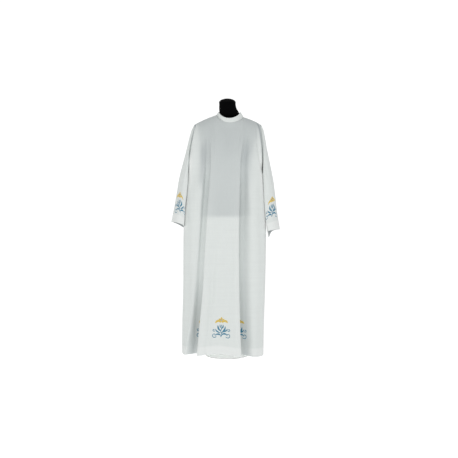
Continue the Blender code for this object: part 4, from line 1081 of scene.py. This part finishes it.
button_profile = [(BUTTON_RADIUS * radius, BUTTON_THICK * height) for radius, height in BUTTON_PROFILE]
button = turned_piece("robe_button", button_profile, button_plastic, 48)
for x in (-HOLE_PLACE, HOLE_PLACE):
    for y in (-HOLE_PLACE, HOLE_PLACE):
        drill = turned_piece("drill", [(BUTTON_HOLE, -0.001), (BUTTON_HOLE, BUTTON_THICK + 0.001)],
                             button_plastic, 14, (x, y))
        cut = button.modifiers.new("hole", "BOOLEAN")
        cut.object, cut.operation, cut.solver = drill, "DIFFERENCE", "EXACT"
        drilled = bpy.data.meshes.new_from_object(button.evaluated_get(bpy.context.evaluated_depsgraph_get()))
        button.modifiers.clear()
        button.data = drilled
        bpy.data.objects.remove(drill)
button.data.name = "robe_button"
onto_collar(button)
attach(button, "root")
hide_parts("collar_button")

sewing_thread, tree, shader = new_material("white_thread", (0.74, 0.75, 0.74), 0.6, {"Sheen Weight": 0.3})
twist = noise_texture(tree, 3000.0, 2.0, (1.0, 1.0, 0.4))
set_inputs(tree, shader, {"Base Color": ramp(tree, twist, (0.70, 0.71, 0.70), (0.78, 0.79, 0.78)),
                          "Normal": bump(tree, twist, 0.0001, 0.5)})

points, faces = [], []
for x in (-HOLE_PLACE, HOLE_PLACE):
    for strand in (-SEWING_THREAD, SEWING_THREAD):
        first = len(points)
        for turn in np.linspace(0.0, math.pi, THREAD_STEPS):
            centre = np.array((x + strand, -HOLE_PLACE * math.cos(turn),
                               BUTTON_THICK * THREAD_LEVEL + THREAD_RISE * math.sin(turn) ** 0.6))
            out = np.array((0.0, -math.cos(turn), math.sin(turn)))
            for angle in math.tau * np.arange(THREAD_SIDES) / THREAD_SIDES:
                points.append(centre + SEWING_THREAD * (math.cos(angle) * np.array((1.0, 0.0, 0.0))
                                                        + math.sin(angle) * out))
        for low in range(first, len(points) - THREAD_SIDES, THREAD_SIDES):
            for k in range(THREAD_SIDES):
                a, b = low + k, low + (k + 1) % THREAD_SIDES
                faces.append((a, b, b + THREAD_SIDES, a + THREAD_SIDES))
thread_mesh = bpy.data.meshes.new("button_thread")
thread_mesh.from_pydata([tuple(point) for point in points], [], faces)
face_outwards(thread_mesh, fill=True)
button_thread = finished_piece("button_thread", thread_mesh, [sewing_thread])
onto_collar(button_thread)
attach(button_thread, "root")

# ---- The stitching ----
# Lockstitch in white polyester: along the top of the hem and of both cuffs, and near both edges of the
# collar. Each stitch is a short round thread that lies on the cloth.

STITCH_PITCH = 0.0032
STITCH_LENGTH = 0.0024
STITCH_RADIUS = 0.00028
STITCH_SIDES = 5
STITCH_VARIES = (0.9, 1.05)                          # the least and the greatest share of its length
STITCH_SEED = 7


def stitch_tree():
    """A tree that lays stitches along the edges of its mesh, which hold the way out of the cloth."""
    tree = bpy.data.node_groups.new("stitches", "GeometryNodeTree")
    for name, kind in (("Geometry", "Geometry"), ("Pitch", "Float"), ("Stitch length", "Float"),
                       ("Thread radius", "Float"), ("Seed", "Int"), ("Material", "Material")):
        tree.interface.new_socket(name, in_out="INPUT", socket_type="NodeSocket" + kind)
    tree.interface.new_socket("Geometry", in_out="OUTPUT", socket_type="NodeSocketGeometry")
    given = add_node(tree, "NodeGroupInput").outputs
    way_out = add_node(tree, "GeometryNodeInputNamedAttribute", {"Name": "way_out"},
                       data_type="FLOAT_VECTOR").outputs["Attribute"]
    curve = add_node(tree, "GeometryNodeMeshToCurve", {"Mesh": given["Geometry"]})
    spaced = add_node(tree, "GeometryNodeResampleCurve",
                      {"Curve": curve.outputs["Curve"], "Length": given["Pitch"]}, mode="LENGTH")
    tangent = add_node(tree, "GeometryNodeInputTangent").outputs["Tangent"]
    along = add_node(tree, "FunctionNodeAlignRotationToVector", {"Vector": tangent}, axis="Z")
    upright = add_node(tree, "FunctionNodeAlignRotationToVector", {
        "Rotation": along.outputs["Rotation"], "Vector": way_out}, axis="X", pivot_axis="Z")
    thread = add_node(tree, "GeometryNodeMeshCylinder", {
        "Vertices": STITCH_SIDES, "Radius": given["Thread radius"], "Depth": given["Stitch length"]},
        fill_type="NGON")
    vary = add_node(tree, "FunctionNodeRandomValue", {
        "Min": STITCH_VARIES[0], "Max": STITCH_VARIES[1], "Seed": given["Seed"]}, data_type="FLOAT")
    size = add_node(tree, "ShaderNodeCombineXYZ", {"X": 1.0, "Y": 1.0, "Z": vary.outputs["Value"]})
    lay = add_node(tree, "GeometryNodeInstanceOnPoints", {
        "Points": spaced.outputs["Curve"], "Instance": thread.outputs["Mesh"],
        "Rotation": upright.outputs["Rotation"], "Scale": size.outputs["Vector"]})
    real = add_node(tree, "GeometryNodeRealizeInstances", {"Geometry": lay.outputs["Instances"]})
    coloured = add_node(tree, "GeometryNodeSetMaterial", {
        "Geometry": real.outputs["Geometry"], "Material": given["Material"]})
    add_node(tree, "NodeGroupOutput", {"Geometry": coloured.outputs["Geometry"]})
    return tree


stitches = stitch_tree()


def stitched(name, lines):
    """A piece of stitches along lines, each of them points on the cloth and the ways out of it there."""
    points = np.concatenate([line for line, out in lines])
    ways = np.concatenate([out for line, out in lines])
    edges, first = [], 0
    for line, out in lines:
        edges += [(first + i, first + i + 1) for i in range(len(line) - 1)]
        first += len(line)
    mesh = bpy.data.meshes.new(name)
    mesh.from_pydata((points + ways * STITCH_RADIUS * 0.5).tolist(), edges, [])
    store = mesh.attributes.new("way_out", "FLOAT_VECTOR", "POINT")
    store.data.foreach_set("vector", ways.astype(np.float32).ravel())
    piece = put_in_scene(name, mesh)
    layer = piece.modifiers.new("stitches", "NODES")
    layer.node_group = stitches
    values = {"Pitch": STITCH_PITCH, "Stitch length": STITCH_LENGTH, "Thread radius": STITCH_RADIUS,
              "Seed": STITCH_SEED, "Material": sewing_thread}
    for item in stitches.interface.items_tree:
        if item.in_out == "INPUT" and item.name in values:
            layer[item.identifier] = values[item.name]
    depsgraph = bpy.context.evaluated_depsgraph_get()
    piece.data = bpy.data.meshes.new_from_object(piece.evaluated_get(depsgraph))
    piece.modifiers.clear()
    piece.data.name = name
    piece.data.shade_smooth()
    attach(piece, "root")
    return piece


hem_row = HEM_ROWS - 1
front_stitches = stitched("stitches_front", [(front[hem_row], front_normals[hem_row])])
for side, columns in (("left", slice(0, middle - 1)), ("right", slice(middle + 2, None))):
    stitched("stitches_back_" + side,
                                   [(back[hem_row, columns], back_normals[hem_row, columns])])
for side, (sleeve, grid, normals) in sleeves.items():
    ring, out = closed_ring(grid)[-HEM_ROWS], closed_ring(normals)[-HEM_ROWS]
    stitched("stitches_cuff_" + side, [(ring, out)])
collar_lines = []
for inset in topstitches:
    row, part = divmod(inset / collar_height[-1].mean() * (COLLAR_ROWS - 1), 1.0)
    row = int(row)
    collar_lines.append([blend(grid[row], grid[row + 1], part)[1:-1]
                         for grid in (collar_outer, collar_normals)])
collar_stitches = stitched("stitches_collar", collar_lines)

# ---- The embroidery ----
# Rayon satin stitch, sewn by machine: a blue sprig on a curved stem, with pointed leaves and curled tendrils,
# under a gold blossom between two gold leaves. One stands every 25 cm round the hem, and one on the front of
# each sleeve.

SPRIG_SPACING = 0.25
SPRIG_ROW = 15                                       # a row of the grids at about the middle of a sprig
SPRIG_ABOVE_HEM = 0.100
SPRIG_ABOVE_CUFF = {"left": 0.066, "right": 0.082}
FRONT_SPRIG_X = -0.033
SLEEVE_SPRIG_TILT = {"left": -0.27, "right": -0.16}  # so that it stands upright over the slanting cuff
SLEEVE_SPRIG_TURN = 2.20                             # from the seam under the arm, by the front, in radians
SPRIG_HEART = np.array((0.0, 0.055))                 # the point that a sprig is turned round
SATIN_HEIGHT = 0.0006
SATIN_SINK = 0.0001                                  # how far the edges of a stroke lie in the cloth
SATIN_STEP = 0.0016
SATIN_SIDES = 5
SATIN_THIN = 0.06                                    # the least share of a stroke's width
BAND_ENDS = 0.06                                     # the share of a band's length where its end is round
LEAF_FULLNESS = 0.75
SATIN_THREAD = 0.0004
PATCH_HALF = 0.062                                   # the cloth is read this far to each side of a sprig
PATCH_LOW, PATCH_HIGH = -0.006, 0.124
PATCH_STEPS = 40
SPAN_POINTS = 10                                     # the points of a stroke between two of its own points
CURL_POINTS = 40                                     # and those of a whole curl
PETAL_POINTS = 12
KNOT_POINTS = 7

# The shapes of a sprig on flat cloth, in metres from the foot of its stem: a line of satin stitch through its
# points, with its greatest width. A band keeps its width, and a leaf swells in the middle and ends in points.
STROKE_COLUMNS = ("thread", "kind", "width", "points")
SPRIG = (
    ("blue", "band", 0.0050, ((-0.005, -0.001), (0.004, 0.016), (-0.003, 0.036), (0.003, 0.056),
                              (0.000, 0.076))),
    ("blue", "leaf", 0.0105, ((0.002, 0.012), (0.013, 0.021), (0.026, 0.021), (0.036, 0.013))),
    ("blue", "leaf", 0.0105, ((0.000, 0.008), (-0.012, 0.016), (-0.025, 0.017), (-0.035, 0.010))),
    ("blue", "leaf", 0.0115, ((0.002, 0.024), (0.012, 0.036), (0.021, 0.050), (0.024, 0.068))),
    ("blue", "leaf", 0.0115, ((-0.002, 0.034), (-0.012, 0.043), (-0.019, 0.056), (-0.021, 0.072))),
    ("blue", "leaf", 0.0080, ((0.002, 0.050), (0.009, 0.058), (0.011, 0.067), (0.010, 0.077))),
    ("blue", "leaf", 0.0085, ((-0.003, 0.022), (-0.017, 0.029), (-0.029, 0.038), (-0.036, 0.051))),
    ("blue", "leaf", 0.0085, ((0.010, 0.032), (0.021, 0.036), (0.031, 0.043), (0.038, 0.054))),
    ("blue", "leaf", 0.0070, ((-0.001, 0.052), (-0.006, 0.060), (-0.008, 0.068), (-0.009, 0.076))),
    ("gold", "leaf", 0.0150, ((0.008, 0.089), (0.017, 0.097), (0.028, 0.096), (0.038, 0.086))),
    ("gold", "leaf", 0.0150, ((-0.008, 0.088), (-0.017, 0.096), (-0.027, 0.094), (-0.037, 0.083))),
)
# Curled tendrils: where the curl's middle lies, its outer and inner radius, the turn at which it starts, and
# how far it turns, in degrees.
TENDRIL_COLUMNS = ("middle_x", "middle_y", "outer", "inner", "start", "turn")
TENDRILS = (
    (0.0405, 0.013, 0.0155, 0.0040, 205.0, 380.0),
    (-0.0415, 0.012, 0.0145, 0.0040, -25.0, -380.0),
    (0.0450, 0.046, 0.0085, 0.0030, 200.0, 330.0),
    (-0.0440, 0.043, 0.0080, 0.0030, -20.0, -330.0),
)
TENDRIL_WIDTH = 0.0046
PETALS = 5
PETAL_REACH = (0.0030, 0.0185)
PETAL_WIDTH = 0.0135
BLOSSOM = np.array((0.000, 0.101))
KNOTS = 5                                            # brown ones in a ring round one in the middle
KNOT_RING = 0.0042
KNOT_RADIUS = 0.0016


def satin_material(name, colour, shade):
    """Shiny thread in close rows across a stroke, a little darker in some rows."""
    material, tree, shader = new_material(name, colour, 0.42,
                                          {"Sheen Weight": 0.3, "Specular IOR Level": 0.45})
    place = add_node(tree, "ShaderNodeUVMap", uv_map="thread")
    rows = add_node(tree, "ShaderNodeTexWave", {
        "Vector": place.outputs["UV"], "Scale": math.tau / (20.0 * SATIN_THREAD), "Distortion": 1.2,
        "Detail": 1.0}).outputs["Fac"]
    set_inputs(tree, shader, {"Base Color": ramp(tree, rows, shade, colour, 0.0, 0.6),
                              "Normal": bump(tree, rows, 0.0002, 0.6)})
    return material


THREADS = {"blue": satin_material("blue_rayon", (0.045, 0.225, 0.345), (0.024, 0.140, 0.235)),
           "gold": satin_material("gold_rayon", (0.730, 0.540, 0.110), (0.520, 0.350, 0.045)),
           "brown": satin_material("brown_rayon", (0.130, 0.045, 0.016), (0.070, 0.024, 0.010))}


def cloth_patch(grid, normals, column, above):
    """Points and ways out of the cloth round a sprig, from its middle column and its foot above the edge."""
    along = arc_lengths(grid[:, column:column + 1], 0)[:, 0]
    across = arc_lengths(grid, 1)
    across = across - across[:, column:column + 1]
    sides = np.linspace(-PATCH_HALF, PATCH_HALF, PATCH_STEPS)
    both = np.concatenate([grid, normals], axis=2)
    patch = []
    for up in np.linspace(PATCH_LOW, PATCH_HIGH, PATCH_STEPS):
        place = float(np.interp(above + up, along, np.arange(len(along))))
        row = min(int(place), len(grid) - 2)
        ends = [np.stack([np.interp(sides, across[r], both[r, :, k]) for k in range(6)], axis=1)
                for r in (row, row + 1)]
        patch.append(blend(ends[0], ends[1], place - row))
    return np.array(patch)


def on_patch(patch, flat):
    """Where flat points of a sprig lie on the cloth, and the ways out of it there."""
    x = (flat[:, 0] + PATCH_HALF) / (2 * PATCH_HALF) * (PATCH_STEPS - 1)
    y = (flat[:, 1] - PATCH_LOW) / (PATCH_HIGH - PATCH_LOW) * (PATCH_STEPS - 1)
    i = np.clip(x.astype(int), 0, PATCH_STEPS - 2)
    j = np.clip(y.astype(int), 0, PATCH_STEPS - 2)
    u, v = (x - i)[:, None], (y - j)[:, None]
    both = blend(blend(patch[j, i], patch[j, i + 1], u), blend(patch[j + 1, i], patch[j + 1, i + 1], u), v)
    return both[:, :3], both[:, 3:] / np.linalg.norm(both[:, 3:], axis=1, keepdims=True)


def turns_round(count, start=0.0):
    """Ways from a middle, evenly round it."""
    turn = start + math.tau * np.arange(count) / count
    return np.stack([np.cos(turn), np.sin(turn)], axis=1)


def strokes_of_sprig():
    """Every stroke of the sprig: its thread, its kind, its flat middle line and its greatest width."""
    strokes = []
    for row in SPRIG:
        stroke = dict(zip(STROKE_COLUMNS, row))
        line = spline(stroke["points"], [SPAN_POINTS] * (len(stroke["points"]) - 1))
        strokes.append((stroke["thread"], stroke["kind"], line, stroke["width"]))
    for row in TENDRILS:
        tendril = dict(zip(TENDRIL_COLUMNS, row))
        share = np.linspace(0.0, 1.0, CURL_POINTS)[:, None]
        radius = blend(tendril["outer"], tendril["inner"], share)
        turn = np.radians(tendril["start"] + tendril["turn"] * share)
        curl = radius * np.concatenate([np.cos(turn), np.sin(turn)], axis=1)
        strokes.append(("blue", "band", curl + (tendril["middle_x"], tendril["middle_y"]), TENDRIL_WIDTH))
    for way in turns_round(PETALS, math.pi / 2):
        line = BLOSSOM + way * np.linspace(*PETAL_REACH, PETAL_POINTS)[:, None]
        strokes.append(("gold", "leaf", line, PETAL_WIDTH))
    for knot in [(0.0, 0.0), *KNOT_RING * turns_round(KNOTS)]:
        line = BLOSSOM + knot + np.linspace(-KNOT_RADIUS, KNOT_RADIUS, KNOT_POINTS)[:, None] * (1.0, 0.0)
        strokes.append(("brown", "leaf", line, 2 * KNOT_RADIUS))
    return strokes


def satin_stroke(thread, kind, line, width):
    """A stroke's flat points in rows across it, how high each stands, and its places along the thread."""
    run = np.concatenate([[0.0], np.cumsum(np.linalg.norm(np.diff(line, axis=0), axis=1))])
    count = max(int(run[-1] / SATIN_STEP) + 1, 4)
    steps = np.linspace(0.0, run[-1], count)
    middle_line = np.stack([np.interp(steps, run, line[:, k]) for k in (0, 1)], axis=1)
    ahead = np.gradient(middle_line, axis=0)
    ahead /= np.linalg.norm(ahead, axis=1, keepdims=True)
    beside = np.stack([-ahead[:, 1], ahead[:, 0]], axis=1)
    share = np.linspace(0.0, 1.0, count)
    if kind == "leaf":
        swell = np.sin(math.pi * share) ** LEAF_FULLNESS
    else:
        swell = grows(share, 0.0, BAND_ENDS) * grows(share, 1.0, 1.0 - BAND_ENDS)
    swell = np.maximum(swell, SATIN_THIN)[:, None]
    sides = np.linspace(-1.0, 1.0, SATIN_SIDES)
    across = 0.5 * width * swell * sides
    flat = middle_line[:, None] + beside[:, None] * across[..., None]
    height = SATIN_HEIGHT * np.sqrt(swell) * (1.0 - sides ** 2) - SATIN_SINK
    if thread == "brown":
        height += SATIN_HEIGHT
    thread_uv = np.stack([np.repeat(steps, SATIN_SIDES), across.ravel()], axis=1)
    return flat.reshape(-1, 2), height.ravel(), thread_uv


def embroidered(name, patches, tilt=0.0):
    """One piece of embroidery: the strokes of a sprig, domed, on each patch of the cloth; tilt turns it."""
    swing = np.array(((math.cos(tilt), math.sin(tilt)), (-math.sin(tilt), math.cos(tilt))))
    points, faces, uvs, kinds = [], [], [], []
    threads = list(THREADS)
    first = 0
    for thread, kind, line, width in strokes_of_sprig():
        flat, height, thread_uv = satin_stroke(thread, kind, line, width)
        flat = (flat - SPRIG_HEART) @ swing + SPRIG_HEART
        quads = quads_between(np.arange(len(flat)).reshape(-1, SATIN_SIDES))
        for patch in patches:
            place, out = on_patch(patch, flat)
            placed = place + out * height[:, None]
            a, b, c = placed[quads[0, :3]]
            turned = np.dot(np.cross(b - a, c - a), out[quads[0, 0]]) < 0.0
            points.append(placed)
            faces.append((quads[:, ::-1] if turned else quads) + first)
            uvs.append(thread_uv)
            kinds.append(np.full(len(quads), threads.index(thread)))
            first += len(placed)
    points, faces, uvs, kinds = [np.concatenate(parts) for parts in (points, faces, uvs, kinds)]
    mesh = bpy.data.meshes.new(name)
    mesh.from_pydata(points.tolist(), [], faces.tolist())
    mesh.polygons.foreach_set("material_index", kinds.astype(np.int32))
    layer = mesh.uv_layers.new(name="thread")
    layer.data.foreach_set("uv", uvs[faces.ravel()].astype(np.float32).ravel())
    piece = finished_piece(name, mesh, THREADS.values())
    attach(piece, "root")
    return piece


def sprigs_on_hem(name, grid, normals, first_column):
    """Sprigs along a hem: one on the first column and one at every spacing from it, clear of the edges."""
    run = arc_lengths(grid[SPRIG_ROW:SPRIG_ROW + 1], 1)[0]
    places = run[first_column] + SPRIG_SPACING * np.arange(-8, 9)
    places = places[(places > PATCH_HALF) & (places < run[-1] - PATCH_HALF)]
    return embroidered(name, [cloth_patch(grid, normals, int(np.argmin(np.abs(run - place))), SPRIG_ABOVE_HEM)
                              for place in places])


in_panel = (front_places > 1.0) & (front_places < 2.0)
aside = np.where(in_panel, np.abs(front[SPRIG_ROW, :, 0] - FRONT_SPRIG_X), np.inf)
front_sprigs = sprigs_on_hem("embroidery_front", front, front_normals, int(np.argmin(aside)))
for side, (piece, half) in back_pieces.items():
    run = arc_lengths(half[SPRIG_ROW:SPRIG_ROW + 1], 1)[0]
    from_middle = np.abs(run - run[-1 if side == "left" else 0])
    sprigs_on_hem("embroidery_back_" + side, half, back_normals[:, back_halves[side]],
                                      int(np.argmin(np.abs(from_middle - SPRIG_SPACING / 2))))
for side, (sleeve, grid, normals) in sleeves.items():
    count = grid.shape[1]
    shift = count // 2 - round(SLEEVE_SPRIG_TURN / math.tau * count)
    patch = cloth_patch(np.roll(grid[::-1], shift, axis=1), np.roll(normals[::-1], shift, axis=1), count // 2,
                        SPRIG_ABOVE_CUFF[side])
    embroidered("embroidery_sleeve_" + side, [patch], SLEEVE_SPRIG_TILT[side])

# ---- The floor, the backdrop and the light ----
# A white paper sweep that glows a little, two large soft lights in front and above, and an even white sky. A
# small lamp inside the skirt lights the base plate and the paper under it.

SWEEP_WIDTH = 14.0
SWEEP_FRONT = -9.0
SWEEP_BEND = 3.0
SWEEP_RADIUS = 1.6
SWEEP_STEPS = 12
SWEEP_LEVEL = -0.0005
SWEEP_TOP = 7.0
SKY_STRENGTH = 0.60
LIGHT_COLUMNS = ("name", "place", "aim", "width", "height", "power", "colour")
LIGHTS = (
    ("key_softbox", (-0.9, -4.2, 3.1), (0.0, 0.0, 1.0), 2.2, 1.8, 42.0, (1.0, 1.0, 0.99)),
    ("fill_softbox", (2.0, -3.8, 1.8), (0.0, 0.0, 0.8), 2.0, 2.0, 13.0, (0.98, 0.99, 1.0)),
    ("skirt_lamp", (0.0, 0.03, 0.45), (0.0, 0.0301, 0.0), 0.24, 0.14, 1.2, (1.0, 1.0, 1.0)),
)
CAMERA_PLACE = (0.0125, -3.5, 0.784)
CAMERA_LENS = 44.0

paper, tree, shader = new_material("white_paper", (0.36, 0.36, 0.36), 0.9, {
    "Specular IOR Level": 0.0, "Emission Color": (1.0, 1.0, 1.0, 1.0), "Emission Strength": 0.80})
fibres = noise_texture(tree, 60.0, 3.0)
set_inputs(tree, shader, {"Base Color": ramp(tree, fibres, (0.35, 0.35, 0.35), (0.37, 0.37, 0.37))})

sweep_line = [(SWEEP_FRONT, SWEEP_LEVEL), (SWEEP_BEND, SWEEP_LEVEL)]
for step in range(1, SWEEP_STEPS + 1):
    turn = math.radians(90) * step / SWEEP_STEPS
    sweep_line.append((SWEEP_BEND + SWEEP_RADIUS * math.sin(turn),
                       SWEEP_LEVEL + SWEEP_RADIUS * (1 - math.cos(turn))))
sweep_line.append((SWEEP_BEND + SWEEP_RADIUS, SWEEP_TOP))
sweep_mesh = bpy.data.meshes.new("paper_sweep")
sweep_mesh.from_pydata([(x, y, z) for y, z in sweep_line for x in (-SWEEP_WIDTH / 2, SWEEP_WIDTH / 2)], [],
                       [(2 * i, 2 * i + 1, 2 * i + 3, 2 * i + 2) for i in range(len(sweep_line) - 1)])
sweep = finished_piece("paper_sweep", sweep_mesh, [paper])

world = bpy.data.worlds.new("white_sky")
world.use_nodes = True
set_inputs(world.node_tree, world.node_tree.nodes["Background"],
           {"Color": (1.0, 1.0, 1.0, 1.0), "Strength": SKY_STRENGTH})
bpy.context.scene.world = world

for row in LIGHTS:
    light = dict(zip(LIGHT_COLUMNS, row))
    data = bpy.data.lights.new(light["name"], "AREA")
    data.shape = "RECTANGLE"
    data.size, data.size_y = light["width"], light["height"]
    data.energy, data.color = light["power"], light["colour"]
    lamp = put_in_scene(light["name"], data)
    lamp.location = light["place"]
    way = np.array(light["aim"]) - np.array(light["place"])
    lamp.rotation_euler = (math.atan2(math.hypot(way[0], way[1]), -way[2]), 0.0, math.atan2(-way[0], way[1]))

camera_data = bpy.data.cameras.new("camera")
camera_data.lens = CAMERA_LENS
camera_data.sensor_width = 36.0
camera = put_in_scene("camera", camera_data)
camera.location = CAMERA_PLACE
camera.rotation_euler = (math.radians(90), 0.0, 0.0)
bpy.context.scene.camera = camera
bpy.context.scene.view_settings.view_transform = "Standard"
